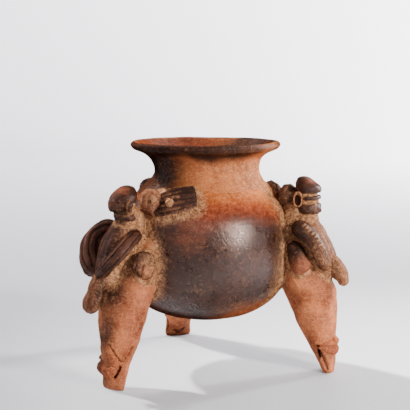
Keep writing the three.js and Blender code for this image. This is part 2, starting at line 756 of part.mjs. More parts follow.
const vase = new THREE.Group();
vase.add(named("bowl", solidFrom(bowlGeometry()), "burnish"));
vase.add(named("neck_rim", solidFrom(neckGeometry()), "burnish"));
vase.add(...LEGS.map(legGroup));

// The origin is on the ground, under the middle of the whole vase's box.
vase.updateMatrixWorld(true);
const middle = new THREE.Box3().setFromObject(vase, true).getCenter(V(0, 0, 0));
vase.position.set(-middle.x, -middle.y, 0);

export default vase;
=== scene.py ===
# %% [markdown]
# # A clay tripod vase with rattle legs
# A round, burnished bowl stands on three hollow legs. Each leg carries a winged figure made of
# luted lumps and rolls of clay, and has loose clay pellets inside that rattle. The CAD model
# gives every piece its place and its size. This file gives each of them its hand-made surface,
# its slip, its smoke marks and the tan soil that is left in its creases. Painted shade darkens
# its grooves, hollows and a few sides, and one row of dashes has a painted highlight.

# %% The frame
import math

import bpy
import numpy as np
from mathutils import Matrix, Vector
from mathutils.bvhtree import BVHTree


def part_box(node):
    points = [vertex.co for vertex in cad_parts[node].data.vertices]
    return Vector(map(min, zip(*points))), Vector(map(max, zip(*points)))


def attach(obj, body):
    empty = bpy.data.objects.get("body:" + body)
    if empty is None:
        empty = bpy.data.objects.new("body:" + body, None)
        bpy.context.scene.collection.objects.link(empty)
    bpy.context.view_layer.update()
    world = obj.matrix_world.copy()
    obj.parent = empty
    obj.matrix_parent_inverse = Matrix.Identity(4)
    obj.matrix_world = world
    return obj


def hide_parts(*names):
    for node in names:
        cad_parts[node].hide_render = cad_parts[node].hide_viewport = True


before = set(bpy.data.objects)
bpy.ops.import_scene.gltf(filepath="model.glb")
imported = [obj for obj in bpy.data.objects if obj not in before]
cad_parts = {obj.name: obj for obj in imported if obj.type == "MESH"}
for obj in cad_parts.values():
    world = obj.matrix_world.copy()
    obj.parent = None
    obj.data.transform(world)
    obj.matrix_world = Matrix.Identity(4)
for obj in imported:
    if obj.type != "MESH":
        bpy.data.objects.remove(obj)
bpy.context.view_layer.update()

bowl_low, bowl_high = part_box("bowl")
pot_axis = (bowl_low + bowl_high) / 2
AXIS = np.array([pot_axis.x, pot_axis.y, 0.0])
print("nodes", len(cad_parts), "pot axis", [round(v, 5) for v in AXIS])

# %% [markdown]
# ## The camera
# A product photograph of a pot this size is taken from about a metre away with a short
# telephoto lens, slightly from above, so that the mouth shows as a thin ellipse. The ellipse of
# the rim and the places of the three feet fix the height, the tilt and the focal length. The
# camera comes first, because every later piece is judged through it.

# %% The camera
LENS, CAMERA_DISTANCE, CAMERA_HEIGHT, TILT_DOWN = 99.95, 1.14965, 0.30426, 6.956
camera = bpy.data.objects.new("camera", bpy.data.cameras.new("camera"))
bpy.context.scene.collection.objects.link(camera)
camera.data.sensor_width, camera.data.lens = 36, LENS
camera.location = (AXIS[0], AXIS[1] - CAMERA_DISTANCE, CAMERA_HEIGHT)
camera.rotation_euler = (math.radians(90 - TILT_DOWN), 0, 0)
bpy.context.scene.camera = camera
print("camera", [round(v, 4) for v in camera.location])

# %% [markdown]
# ## The studio
# The pot stands on a pale sweep: a floor that curves up into a wall, so that no edge shows
# behind it. A plane and a wall would show the corner. Here the sweep is turned on a circle, so
# that it looks the same from every side.

# %% The floor and the wall
def linked(name, points, faces):
    """A new mesh object from points and faces."""
    mesh = bpy.data.meshes.new(name)
    mesh.from_pydata([tuple(p) for p in points], [], faces)
    mesh.shade_smooth()
    thing = bpy.data.objects.new(name, mesh)
    bpy.context.scene.collection.objects.link(thing)
    return thing


def hue(red, green, blue):
    """A colour, 0 to 255, as the linear value that a shader takes."""
    share = np.array([red, green, blue]) / 255
    linear = np.where(share < 0.04045, share / 12.92, ((share + 0.055) / 1.055) ** 2.4)
    return (*linear.tolist(), 1.0)


def turns(sides):
    """Even steps once round, in radians."""
    return np.arange(sides) / sides * 2 * np.pi


def ring_faces(count, sides, start=0, closed=False):
    """Faces between neighbouring rings of points. Closed rings end where they begin."""
    faces = []
    for ring in range(count if closed else count - 1):
        low, high = start + ring * sides, start + (ring + 1) % count * sides
        for a, b in ((s, (s + 1) % sides) for s in range(sides)):
            faces.append((low + a, low + b, high + b, high + a))
    return faces


SIDES, FLOOR, BEND = 96, 3.0, 1.1
quarter = np.linspace(0, math.pi / 2, 14)
bend = [(FLOOR + BEND * math.sin(a), BEND - BEND * math.cos(a)) for a in quarter]
profile = [(0.4, 0.0), (1.2, 0.0), (2.2, 0.0), *bend, (4.1, 2.4), (4.1, 4.2)]
sweep_points = [(0, 0, 0)]
sweep_points += [(r * math.cos(t), r * math.sin(t), z) for r, z in profile for t in turns(SIDES)]
sweep_faces = [(0, 1 + s, 1 + (s + 1) % SIDES) for s in range(SIDES)]
sweep_faces += [(a, d, c, b) for a, b, c, d in ring_faces(len(profile), SIDES, 1)]
sweep = linked("paper_sweep", sweep_points, sweep_faces)
paper = bpy.data.materials.new("paper")
paper.use_nodes = True
paper_look = paper.node_tree.nodes["Principled BSDF"].inputs
paper_look["Base Color"].default_value = hue(189, 189, 193)
paper_look["Roughness"].default_value = 0.6
sweep.data.materials.append(paper)
print("sweep", len(sweep_faces), "faces")

# %% [markdown]
# ## The light
# The photograph's glow sits on the right of the bowl's front, above its middle, so the main
# softbox stands in front and to the right, a little above the pot. A small one from behind on
# the left is aimed past the pot and throws the long faint shadow across the floor to the
# right. Two wide ones soften the shadows, two more make the wall brighter on the right, and the
# world fills the rest. The back light and the wide ones would show as patches in the burnish,
# so they are kept out of its reflections.

# %% Softboxes
LIT_HEIGHT = 0.12


def softbox(name, azimuth, elevation, distance, wide, high, watts, colour=(1, 1, 1), toward=(0, 0)):
    """An area light that looks at the bowl, or past it by `toward`.
    Azimuth 0 is in front of the pot, 90 to its right."""
    light = bpy.data.lights.new(name, "AREA")
    light.shape = "RECTANGLE"
    light.size, light.size_y, light.energy, light.color = wide, high, watts, colour
    box = bpy.data.objects.new(name, light)
    bpy.context.scene.collection.objects.link(box)
    a, e = math.radians(azimuth), math.radians(elevation)
    aim = Vector((math.sin(a) * math.cos(e), -math.cos(a) * math.cos(e), math.sin(e)))
    box.location = Vector((AXIS[0], AXIS[1], LIT_HEIGHT)) + aim * distance
    look = box.location - Vector((AXIS[0] + toward[0], AXIS[1] + toward[1], LIT_HEIGHT))
    box.rotation_euler = look.to_track_quat("Z", "Y").to_euler()
    return box


softbox("key_softbox", 48, 21, 1.5, 0.2, 0.26, 38, (1, 0.96, 0.91))
back = softbox("back_softbox", -131, 42, 3.0, 0.2, 0.2, 12, toward=(0.42, -0.2))
back.data.spread = math.radians(22)
left_fill = softbox("left_fill", -50, 30, 2.4, 1.8, 1.8, 2.0)
top_fill = softbox("top_fill", 20, 80, 2.4, 2.2, 2.2, 4.5)
for quiet in (back, left_fill, top_fill):
    quiet.visible_glossy = False
WALL_LIGHTS = {"wall_light_left": (-1.8, 2.6, 1), "wall_light_right": (2.8, 1.2, 1300)}
for name, (across, high, watts) in WALL_LIGHTS.items():
    wall_light = softbox(name, 0, 0, 1.0, 0.9, 0.9, watts)
    wall_light.location = (across, 1.9, high)
    wall_light.rotation_euler = Vector((across * 0.6, -2.0, 0.9)).to_track_quat("Z", "Y").to_euler()
world = bpy.data.worlds.new("studio_air")
bpy.context.scene.world = world
world.use_nodes = True
air = world.node_tree.nodes["Background"].inputs
air["Color"].default_value, air["Strength"].default_value = hue(236, 239, 244), 0.06

# %% [markdown]
# ## Making clay skins
# Everything on this vase is either turned about an axis or rolled between the hands, so every
# surface is a stack of closed rings. Modelling by hand from cubes and subdivision would also
# do, but rings keep the potter's own numbers: a height, a middle and two half widths. Sizes
# below are in millimetres until a piece is set in its place.

# %% Rings into skins
def through(stations, shares):
    """Rows at the given shares of the length of a smooth line that passes through the stations.
    Each stretch is a cubic that leaves a station in the direction of its two neighbours."""
    rows = np.asarray(stations, float)
    ends = np.vstack([2 * rows[0] - rows[1], rows, 2 * rows[-1] - rows[-2]])
    t = np.linspace(0, len(rows) - 1, 60 * len(rows))
    i = np.minimum(t.astype(int), len(rows) - 2)
    f = (t - i)[:, None]
    a, b, c, d = (ends[i + k] for k in range(4))
    line = b + 0.5 * f * (c - a + f * (2 * a - 5 * b + 4 * c - d + f * (3 * (b - c) + d - a)))
    run = np.r_[0, np.cumsum(np.linalg.norm(np.diff(line[:, :3], axis=0), axis=1))]
    at = np.asarray(shares) * run[-1]
    return np.stack([np.interp(at, run, line[:, k]) for k in range(line.shape[1])], 1)


def skin(rings):
    """One closed skin of rings, each end closed at its own middle."""
    count, sides = rings.shape[:2]
    points = np.concatenate([rings[:1].mean(1), rings.reshape(-1, 3), rings[-1:].mean(1)])
    last, top = len(points) - 1, 1 + (count - 1) * sides
    pairs = [(s, (s + 1) % sides) for s in range(sides)]
    faces = [(0, 1 + b, 1 + a) for a, b in pairs] + ring_faces(count, sides, 1)
    return points, faces + [(last, top + a, top + b) for a, b in pairs]


def over_skin(values):
    """A value per ring and side, laid out as skin() lays out its points."""
    return np.concatenate([[values[0].mean()], values.ravel(), [values[-1].mean()]])


# %% Columns and rolls
def column(rows, sides, rings):
    """Level sections stacked upwards. A row is height, middle, half long, half wide, and
    sideways where it isn't 0."""
    table = np.array([[x, *(y or [0]), z, a, b] for z, x, a, b, *y in rows], float)
    path = through(table, np.linspace(0, 1, rings))
    x = path[:, :1] + path[:, 3:4] * np.cos(turns(sides))
    y = path[:, 1:2] + path[:, 4:5] * np.sin(turns(sides))
    return np.stack([x, y, np.repeat(path[:, 2:3], sides, 1)], 2)


def roll(stations, across, sides=40, rings=44, blunt=1.0, section=None):
    """A roll with round ends. A station is out, sideways, up, half width, half depth.
    section(u, turn) swells or pinches it; both grids come back for painting."""
    u = (1 - np.cos(np.pi * np.arange(1, rings) / rings)) / 2
    path = through(stations, u)
    middle, half = path[:, :3], path[:, 3:5]
    along = np.gradient(middle, axis=0)
    along /= np.linalg.norm(along, axis=1)[:, None]
    across = np.asarray(across, float)
    side = across - (along @ across)[:, None] * along
    side /= np.linalg.norm(side, axis=1)[:, None]
    normal = np.cross(along, side)
    steps = np.diff(through(stations, np.linspace(0, 1, 60))[:, :3], axis=0)
    length = np.linalg.norm(steps, axis=1).sum()
    first, last = (min(stations[i][3:5]) * blunt / length for i in (0, -1))
    taper = np.sqrt(1 - (1 - np.minimum(1, u / first)) ** 2)
    taper *= np.sqrt(1 - (1 - np.minimum(1, (1 - u) / last)) ** 2)
    u_grid, turn_grid = np.meshgrid(u, turns(sides), indexing="ij")
    swell = taper[:, None] * (1 if section is None else section(u_grid, turn_grid))
    wide = (half[:, :1] * swell * np.cos(turn_grid))[..., None] * side[:, None]
    deep = (half[:, 1:] * swell * np.sin(turn_grid))[..., None] * normal[:, None]
    return middle[:, None] + wide + deep, u_grid, turn_grid


# %% [markdown]
# ## The touch of the hand
# No part of a hand-built pot is true. A bump map alone would leave the outline perfect, so the
# points themselves are moved along their normals by slow waves, with every seed written down
# so that each run gives the same pot.

# %% Unevenness
def waves(points, size, seed):
    """A smooth value of about -1 to 1 at each point, with bumps about `size` mm wide."""
    rng = np.random.default_rng(seed)
    ways = rng.normal(size=(9, 3))
    stretch = (2 * np.pi / size) * rng.uniform(0.6, 1.3, (9, 1))
    ways *= stretch / np.linalg.norm(ways, axis=1)[:, None]
    return np.cos(points @ ways.T + rng.uniform(0, 2 * np.pi, 9)).sum(1) / 4


def read_out(items, name):
    flat = np.empty(len(items) * 3, np.float32)
    items.foreach_get(name, flat)
    return flat.reshape(-1, 3).astype(float)


def points_of(thing):
    """The thing's points, as an array of metres in the frame."""
    return read_out(thing.data.vertices, "co")


def normals_of(thing):
    return read_out(thing.data.vertex_normals, "vector")


def set_points(thing, points):
    thing.data.vertices.foreach_set("co", points.astype(np.float32).ravel())
    thing.data.update()


def knead(thing, lumps, seed):
    """Pushes the surface in and out. Each lump is a width and a height in mm."""
    points = points_of(thing)
    push = sum(high * waves(points * 1000, size, seed + i) for i, (size, high) in enumerate(lumps))
    set_points(thing, points + normals_of(thing) * (push / 1000)[:, None])


def ease(value, low, high):
    """0 below low, 1 above high, and smooth between them."""
    t = np.clip((value - low) / (high - low), 0, 1)
    return t * t * (3 - 2 * t)


def spot(distance, size):
    """1 at no distance, fading to almost 0 at twice the size."""
    return np.exp(-((distance / size) ** 2))


# %% [markdown]
# ## Finishes
# The clay fires orange where air reaches it and black where the fire is smothered. A dark slip
# covers the figures, the bowl is rubbed with a pebble until it shines, and burial leaves tan
# soil in every hollow. One recipe mixes these layers, and each surface says how much of every
# layer it has through values painted on its points: `soil`, `slip`, `red`, `dull`, and the
# groove value, which is painted shade in cracks, grooves, hollows and seams. Image textures
# could do this too, but painted values follow the shape whatever it becomes.

# %% Short words for shader nodes
class Recipe:
    def __init__(self, name):
        self.finish = bpy.data.materials.new(name)
        self.finish.use_nodes = True
        self.tree = self.finish.node_tree
        self.shader = self.tree.nodes["Principled BSDF"]
        self.place = self.add("ShaderNodeTexCoord").outputs["Object"]

    def plug(self, value, socket):
        if isinstance(value, bpy.types.NodeSocket):
            self.tree.links.new(value, socket)
        else:
            socket.default_value = value

    def add(self, kind, sockets={}, **settings):
        node = self.tree.nodes.new(kind)
        for key, value in settings.items():
            setattr(node, key, value)
        for key, value in sockets.items():
            self.plug(value, node.inputs[key])
        return node

    def placed(self, place, scale=(1, 1, 1)):
        sockets = {"Location": place, "Scale": scale, "Vector": self.place}
        return self.add("ShaderNodeMapping", sockets).outputs["Vector"]

    def grain(self, size, detail=3.0, rough=0.55, stretch=(1, 1, 1), shift=0.0):
        """A cloudy value round 0.5 with features about `size` mm wide."""
        place = self.placed((shift, shift * 0.7, -shift), [1000 / size * s for s in stretch])
        sockets = {"Scale": 1, "Detail": detail, "Roughness": rough, "Vector": place}
        return self.add("ShaderNodeTexNoise", sockets).outputs["Fac"]

    def pits(self, size, shift=0.0):
        """The distance to the nearest of many scattered points, about `size` mm apart."""
        sockets = {"Scale": 1000 / size, "Vector": self.placed((shift, -shift, shift * 0.4))}
        return self.add("ShaderNodeTexVoronoi", sockets).outputs["Distance"]

    def painted(self, name):
        return self.add("ShaderNodeAttribute", attribute_name=name).outputs["Fac"]

    def sum(self, a, operation, b):
        return self.add("ShaderNodeMath", {0: a, 1: b}, operation=operation).outputs[0]

    def step(self, value, low, high, start=0.0, end=1.0):
        """start where the value is low, end where it is high, and smooth between them."""
        sockets = {"Value": value, "From Min": low, "From Max": high, "To Min": start, "To Max": end}
        node = self.add("ShaderNodeMapRange", sockets, interpolation_type="SMOOTHSTEP")
        return node.outputs["Result"]

    def mix(self, share, a, b, data="RGBA", blend="MIX"):
        node = self.add("ShaderNodeMix", data_type=data, blend_type=blend)
        kind = {"RGBA": "Color", "FLOAT": "Float"}[data]
        spots = {s.identifier: s for s in node.inputs}
        for value, name in ((share, "Factor_Float"), (a, "A_" + kind), (b, "B_" + kind)):
            self.plug(value, spots[name])
        return next(s for s in node.outputs if s.identifier == "Result_" + kind)

    def over(self, base, *layers):
        """The base value plus each layer's noise times its strength."""
        for noise, strength in layers:
            noise = self.sum(self.sum(noise, "SUBTRACT", 0.5), "MULTIPLY", strength)
            base = self.sum(base, "ADD", noise)
        return base


# %% The clay recipe
SOIL = (hue(104, 69, 45), hue(164, 117, 80))
IRON = (hue(118, 50, 27), hue(148, 70, 40))
# CRACK_SHADE is the colour of the painted shade in cracks, grooves, hollows and seams.
CRACK_SHADE, WARM_GLINT = hue(26, 13, 8), (1.0, 0.74, 0.66, 1.0)
BARE, DUSTY = 0.85, 0.95      # roughness of bare clay, and of soil and grooves
BUMP_STRENGTH, BUMP_HEIGHT = 0.7, 0.0007


def clay_finish(name, light, deep, slips, gloss, shine, shift):
    """Fired clay under slip and soil. `gloss` is the roughness where the slip is burnished."""
    mud = Recipe(name)
    cloud, patch = mud.grain(46, 2, shift=shift), mud.grain(12, 3, shift=shift + 3)
    fleck, dust = mud.grain(2.0, 2, 0.6, shift=shift + 7), mud.grain(4.4, 4, 0.7, shift=shift + 11)
    sand = mud.grain(1.1, 2, 0.6, shift=shift + 13)
    stroke = mud.grain(14.0, 3, 0.6, (1, 1, 4.5), shift + 17)
    # The clay's own two colours in clouds, reddened where the fire was hot.
    cloudy = mud.step(mud.over(cloud, (patch, 0.8), (stroke, 0.5), (dust, 0.2)), 0.3, 0.7)
    body = mud.mix(cloudy, hue(*deep), hue(*light))
    iron = mud.over(mud.painted("red"), (patch, 0.5), (stroke, 0.4))
    body = mud.mix(mud.step(iron, 0.05, 0.95), body, mud.mix(mud.step(dust, 0.4, 0.6), *IRON))
    # The slip, in three dark colours, worn off in flecks. It also carries some painted shade.
    slip = mud.over(mud.painted("slip"), (patch, 0.3), (stroke, 0.35), (dust, 0.25), (fleck, 0.2))
    slip = mud.step(slip, 0.06, 0.86)
    dark = mud.mix(mud.step(mud.over(cloud, (dust, 0.5)), 0.34, 0.66), *slips[:2])
    dark = mud.mix(mud.step(mud.over(fleck, (dust, 0.5)), 0.56, 0.76, 0, 0.5), dark, slips[2])
    body = mud.mix(slip, body, dark)
    # The soil: a crust, and single specks beyond its edge. On the right wing's raised
    # dashes it is a painted highlight.
    soil = mud.over(mud.painted("soil"), (dust, 0.5), (fleck, 0.4), (sand, 0.3))
    speck = mud.over(mud.sum(mud.painted("soil"), "MULTIPLY", 0.6), (fleck, 1.2), (dust, 0.8))
    soil = mud.sum(mud.step(soil, 0.1, 0.9), "MAXIMUM", mud.step(speck, 0.5, 0.66, 0, 0.8))
    body = mud.mix(soil, body, mud.mix(mud.step(mud.over(dust, (fleck, 0.8)), 0.3, 0.7), *SOIL))
    shade = mud.step(mud.over(sand, (fleck, 0.6), (dust, 0.5)), 0.25, 0.75, 0.72, 1.2)
    body = mud.mix(1.0, body, shade, blend="MULTIPLY")
    # Painted shade darkens cracks, grooves, hollows and seams, and leaves them matt.
    groove = mud.step(mud.painted("groove"), 0.06, 0.9)
    mud.plug(mud.mix(groove, body, CRACK_SHADE), mud.shader.inputs["Base Color"])
    # Gloss: only rubbed slip shines, and no edge-on rim glares.
    rough = mud.mix(slip, BARE, mud.step(patch, 0.3, 0.7, gloss - 0.05, gloss + 0.1), "FLOAT")
    for matt in (soil, groove):
        rough = mud.mix(matt, rough, DUSTY, "FLOAT")
    edge_on = mud.add("ShaderNodeLayerWeight").outputs["Facing"]
    rough = mud.mix(mud.step(edge_on, 0.5, 0.9), rough, 1.0, "FLOAT")
    mud.plug(rough, mud.shader.inputs["Roughness"])
    unrubbed = mud.step(mud.painted("dull"), 0, 1, 1, 0.15)
    shine = mud.sum(mud.step(edge_on, 0.3, 0.8, shine, 0.0), "MULTIPLY", unrubbed)
    mud.plug(shine, mud.shader.inputs["Specular IOR Level"])
    mud.shader.inputs["Specular Tint"].default_value = WARM_GLINT
    # Relief: grain, crust and pits.
    hole = mud.step(mud.pits(3.4, shift), 0.0, 0.3)
    relief = mud.over(0.0, (sand, 0.3), (fleck, 0.6), (patch, 0.7), (dust, 0.6))
    for layer, strength in ((soil, 0.5), (hole, 0.3)):
        relief = mud.sum(relief, "ADD", mud.sum(layer, "MULTIPLY", strength))
    sockets = {"Strength": BUMP_STRENGTH, "Distance": BUMP_HEIGHT, "Height": relief}
    mud.plug(mud.add("ShaderNodeBump", sockets).outputs["Normal"], mud.shader.inputs["Normal"])
    return mud.finish


# %% The six finishes
DARK_SLIPS = (hue(36, 19, 13), hue(64, 36, 24), hue(106, 62, 40))
BOWL_SLIPS = (hue(28, 15, 10), hue(49, 27, 18), hue(86, 50, 32))
CLAYS = {     # light and deep clay, slips, roughness, shine, and a shift of the grain
    "burnished_bowl": ((194, 106, 46), (156, 78, 36), BOWL_SLIPS, 0.26, 0.66, 0.0),
    "smoked_neck": ((192, 110, 60), (150, 82, 46), BOWL_SLIPS, 0.5, 0.2, 0.7),
    "leg_clay": ((198, 114, 70), (150, 84, 56), DARK_SLIPS, 0.6, 0.2, 1.3),
    "figure_clay": ((160, 98, 68), (116, 66, 46), DARK_SLIPS, 0.55, 0.25, 2.1),
    "dark_slip": ((138, 80, 55), (98, 54, 38), DARK_SLIPS, 0.5, 0.35, 4.7),
    "pellet_clay": ((160, 96, 62), (124, 68, 42), DARK_SLIPS, 0.6, 0.2, 6.2),
}
finishes = {name: clay_finish(name, *clay) for name, clay in CLAYS.items()}
print("finishes", list(finishes))

# %% [markdown]
# ## Setting a piece in its place
# Every piece replaces one CAD node and rides on that node's body. It is modelled in its leg's
# own frame, x outwards and y sideways, and is then turned about the pot's axis to where its leg
# stands.

# %% Pieces
AZIMUTHS = {"left": 226.0, "right": 346.0, "back": 104.0}
made, skin_paint = {}, {}


def made_of(*kinds):
    """The pieces made so far whose names start with one of the kinds."""
    return [node for node in made if node.startswith(kinds)]


def about_axis(azimuth):
    """The matrix that turns rows of points about the pot's axis."""
    cos, sin = math.cos(math.radians(azimuth)), math.sin(math.radians(azimuth))
    return np.array([[cos, sin, 0], [-sin, cos, 0], [0, 0, 1]])


def in_place(points, azimuth=0.0):
    """Points in mm round the pot's axis, turned by the azimuth, as points of the frame in metres."""
    return points @ about_axis(azimuth) / 1000 + AXIS


def from_frame(points, side):
    """Points of the frame in metres, back in the leg's own millimetres."""
    return (points - AXIS) * 1000 @ about_axis(-AZIMUTHS[side])


def piece(node, skins, slot, azimuth=0.0, lumps=((16, 0.5), (6, 0.22)), body="vase", finish=None,
          **painted):
    """One object of one or more closed skins, in the CAD node's place. What is painted is a
    number, or has a value for each point, or for each ring and side."""
    points, faces = [], []
    for part_points, part_faces in skins:
        start = sum(len(p) for p in points)
        points.append(part_points)
        faces += [tuple(start + i for i in face) for face in part_faces]
    thing = linked(node + "_clay", in_place(np.concatenate(points), azimuth), faces)
    thing.data.materials.append(finishes[finish or slot])
    if lumps:
        knead(thing, lumps, sum(map(ord, node)))
    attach(thing, body)
    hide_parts(node)
    made[node] = thing
    skin_paint[node] = {k: over_skin(v) if np.ndim(v) == 2 else v for k, v in painted.items()}
    return thing


# %% [markdown]
# ## The bowl
# The bowl was built up from coils and beaten thin, so it is round but not true. Its outside is
# two curves that meet at the belly, a full one below and a slightly leaner one above. The skin
# runs up the outside, over the top of the wall and down the inside, so it has a real thickness.

# %% The bowl's curve
BOWL_RADIUS, BELLY, BOWL_DROP, SHOULDER_RISE, BOWL_WALL = 88.0, 118.0, 68.2, 93.0, 6.5
NECK_FOOT = 192.0
FULL_BELOW, FULL_ABOVE = 2.4, 2.2
FIRST_RING = 2.0     # the radius where the skin starts, at the bottom's middle
POT_SIDES = 288


def bowl_radius(height, inset=0.0):
    rise = np.asarray(height, float) - BELLY
    full = np.where(rise < 0, FULL_BELOW, FULL_ABOVE)
    reach = np.where(rise < 0, BOWL_DROP - inset, SHOULDER_RISE - inset / 3)
    share = np.clip(1 - (np.abs(rise) / reach) ** full, 0, 1)
    return (BOWL_RADIUS - inset) * share ** (1 / full)


def bowl_line(inset, count):
    """Radius and height from the bottom up to the neck, on the surface `inset` mm inside."""
    low = BELLY - (BOWL_DROP - inset) * np.cos(np.linspace(0.0, np.pi / 2, count)[1:])
    heights = np.concatenate([low, np.linspace(BELLY, NECK_FOOT, count)[1:]])
    line = np.stack([bowl_radius(heights, inset), heights], 1)
    return np.vstack([[FIRST_RING, BELLY - BOWL_DROP + inset], line])


def even(line, spacing):
    """The same line with its points an even distance apart."""
    run = np.r_[0, np.cumsum(np.linalg.norm(np.diff(line, axis=0), axis=1))]
    at = np.linspace(0, run[-1], int(run[-1] / spacing))
    return np.stack([np.interp(at, run, line[:, k]) for k in range(2)], 1)


def turned(line, sides):
    """The line of radius and height, turned about the pot's axis."""
    radius, height = line[:, :1], line[:, 1:]
    x, y = radius * np.cos(turns(sides)), radius * np.sin(turns(sides))
    return np.stack([x, y, np.repeat(height, sides, 1)], 2)


# %% Dents in the shoulder
def way(degrees, centre):
    """How far round, in degrees, each point is from a centre."""
    return (degrees - centre + 180) % 360 - 180


def patch_at(degrees, height, centre, wide, level, high):
    """1 near one way round the pot and one height, fading to 0 away from there."""
    return spot(way(degrees, centre), wide) * spot(height - level, high)


def pressed(points):
    """How far in mm the shoulder is pressed in on the left, and a little on the right."""
    at = np.degrees(np.arctan2(points[:, 1], points[:, 0])), points[:, 2]
    return 4.4 * patch_at(*at, 180, 52, 194, 16) + 2.6 * patch_at(*at, 0, 36, 181, 10)


def uneven(points):
    radius = np.maximum(np.hypot(points[:, 0], points[:, 1]), 20)
    points[:, :2] *= (1 - pressed(points) / radius)[:, None]
    return points


outside, inside = even(bowl_line(0, 90), 1.9), even(bowl_line(BOWL_WALL, 60), 3.5)[::-1]
bowl_points, bowl_faces = skin(turned(np.vstack([outside, inside]), POT_SIDES))
bowl = piece("bowl", [(uneven(bowl_points), bowl_faces)], "burnished_bowl",
             lumps=((70, 0.45), (24, 0.16)))
print("bowl", len(bowl.data.vertices), "points")

# %% [markdown]
# ## The neck and the rim
# The neck is a last wide coil, drawn in, then opened out and rolled over at the lip. Its foot
# is smeared down over the shoulder until the join can't be seen, so here it hugs the bowl for
# the last few millimetres. The lip of a hand-built pot waves a little, downwards from its
# highest place, which is the height that the CAD model states.

# %% The neck's curve
hug = np.linspace(183, 190, 4)
neck_line = np.vstack([     # radius and height, up the outside and down the inside
    np.stack([bowl_radius(hug) + np.linspace(-0.3, 0.5, 4), hug], 1),
    [[56.7, 195.5], [55.3, 199.0], [54.9, 203.5], [55.6, 208.0], [57.4, 212.5], [61.5, 216.8]],
    [[67.6, 219.9], [71.8, 221.7], [73.9, 223.3], [75.2, 225.3], [75.3, 227.3], [74.0, 229.0]],
    [[72.0, 229.5], [69.2, 229.2], [66.0, 227.3], [61.5, 223.6], [55.4, 218.3], [51.5, 212.0]],
    [[49.6, 205.0], [49.2, 199.0], [50.4, 193.0], [53.0, 188.0], [57.6, 183.4]],
])
neck_line = through(np.insert(neck_line, 1, 0, axis=1), np.linspace(0, 1, 96))
neck_rings = turned(neck_line[:, [0, 2]], POT_SIDES)
neck_faces = ring_faces(*neck_rings.shape[:2], closed=True)
ring_points = neck_rings.reshape(-1, 3)
around = np.arctan2(ring_points[:, 1], ring_points[:, 0])
lip = ease(ring_points[:, 2], 205, 226)
wave = 0.5 * np.cos(2 * around + 0.6) + 0.3 * np.cos(3 * around - 1.1) + 0.2 * np.cos(7 * around)
ring_points[:, 2] += lip * (wave - 1.0) * 0.35
out_of_round = 0.006 * np.cos(around - 0.1) + 0.006 * np.cos(2 * around)
ring_points[:, :2] *= (1 + lip * out_of_round)[:, None]
neck = piece("neck_rim", [(uneven(ring_points), neck_faces)], "burnished_bowl",
             finish="smoked_neck", lumps=((30, 0.2), (9, 0.08)))
print("neck", len(neck.data.vertices), "points")

# %% [markdown]
# ## The legs
# Each leg is a hollow, tapering cone that leans out from under the bowl. It needs a true
# hollow, because the rattle slit looks into it and the loose pellets lie there. So a boolean
# takes the hollow, the slit and the inside of the bowl away from the solid leg. The three
# figures share one set of shapes. The left one is worn and crusted, and each leg states below
# only what it has of its own.

# %% What differs from leg to leg
LEG_REACH, LEG_TOP, LEG_THICKNESS, LEG_WIDTH, HIP = 40.4, 140.0, 53.6, 48.8, 73.0
ANKLE_HEIGHT, LEG_WALL, SOLE = 18.2, 5.0, 7.5
FIGURE_HEIGHT = 56.0
# foot: width. slit: way round, lean, rise. shift, chin_back: the head moved out, the chin in.
# cap: lean, slip. brow: place, height, point, rise. jaw: height, reach, rise, soil.
# ear: out, aside, rise, radius, slip, soil. nape: size, aside, lift, rise. bead: slip, pale, width.
# tail: start, drop, root's rise, slip, soil. paw: drop, way round, length, width.
# bundle: length, width, end. soil: of the bundle and the wings. near: the side that we see.
PLAIN_LEG = dict(foot=26.8, sway=0.0, slit=(104, 0, 4.0), body_turn=0.0, head_turn=0.0, head=18.0,
                 shift=0.0, chin_back=0.0, cap=(0.0, 0.82), brow=(0.84, 1.9, 0.0, 0.5),
                 jaw=(4.9, 132, 1.0, 0.2), ear=(-4.0, 0.52, 0.0, 5.4, 0.1, 0.62),
                 nape=(23.0, 3.0, 9.0, 0.0), bead=(0.75, 0.3, 3.0), tail=(0.0, 4.0, 0.0, 0.3, 0.0),
                 paw=(12.0, 66, 25.0, 19.0), bundle=(46.0, 27.0, 0.6), soil=(0.03, 0.02), near=1)
LEGS = {
    "left": dict(foot=26.6, sway=3.0, slit=(56, -27, 4.0), body_turn=-5.0, head_turn=-2.2, head=14.5,
                 shift=2.0, chin_back=5.0, cap=(0.24, 0.95), brow=(1.05, 2.6, 0.32, -1.6),
                 jaw=(3.4, 84, 0.0, 0.05), ear=(3.6, 0.53, 2.0, 4.6, 0.6, 0.3),
                 nape=(25.0, 5.0, 8.0, 3.0), bead=(0.4, 1.0, 3.6), tail=(0.0, 17.0, 0.0, 0.6, 0.0),
                 paw=(12.0, 64, 22.0, 31.0), bundle=(34.5, 27.0, 0.84)),
    "right": dict(foot=25.0, slit=(-100, 12, 9.0), head=19.0, jaw=(4.9, 132, 1.7, 0.2),
                  ear=(-8.5, 0.52, 0.0, 5.4, 0.1, 0.62), nape=(23.0, 3.0, 12.5, 0.0),
                  tail=(2.5, 2.0, 5.0, 0.3, 0.2), paw=(8.5, 75, 28.5, 19.0), bundle=(27.0, 23.0, 0.8),
                  soil=(0.3, 0.16), near=-1),
    "back": {},
}
LEGS = {side: PLAIN_LEG | own for side, own in LEGS.items()}
SWAY = [1, 0.9, 0.5, 0, -0.4, -0.6, -0.6, -0.4, -0.2, 0, 0, 0]


def out(share):
    """Outwards from the pot's axis: 0 is over the foot's middle, and -1 is on the bowl."""
    return BOWL_RADIUS + LEG_REACH * (1 + share)


def up(share):
    """Upwards from the leg's top: 1 is the top of the figure's cap."""
    return LEG_TOP + FIGURE_HEIGHT * share


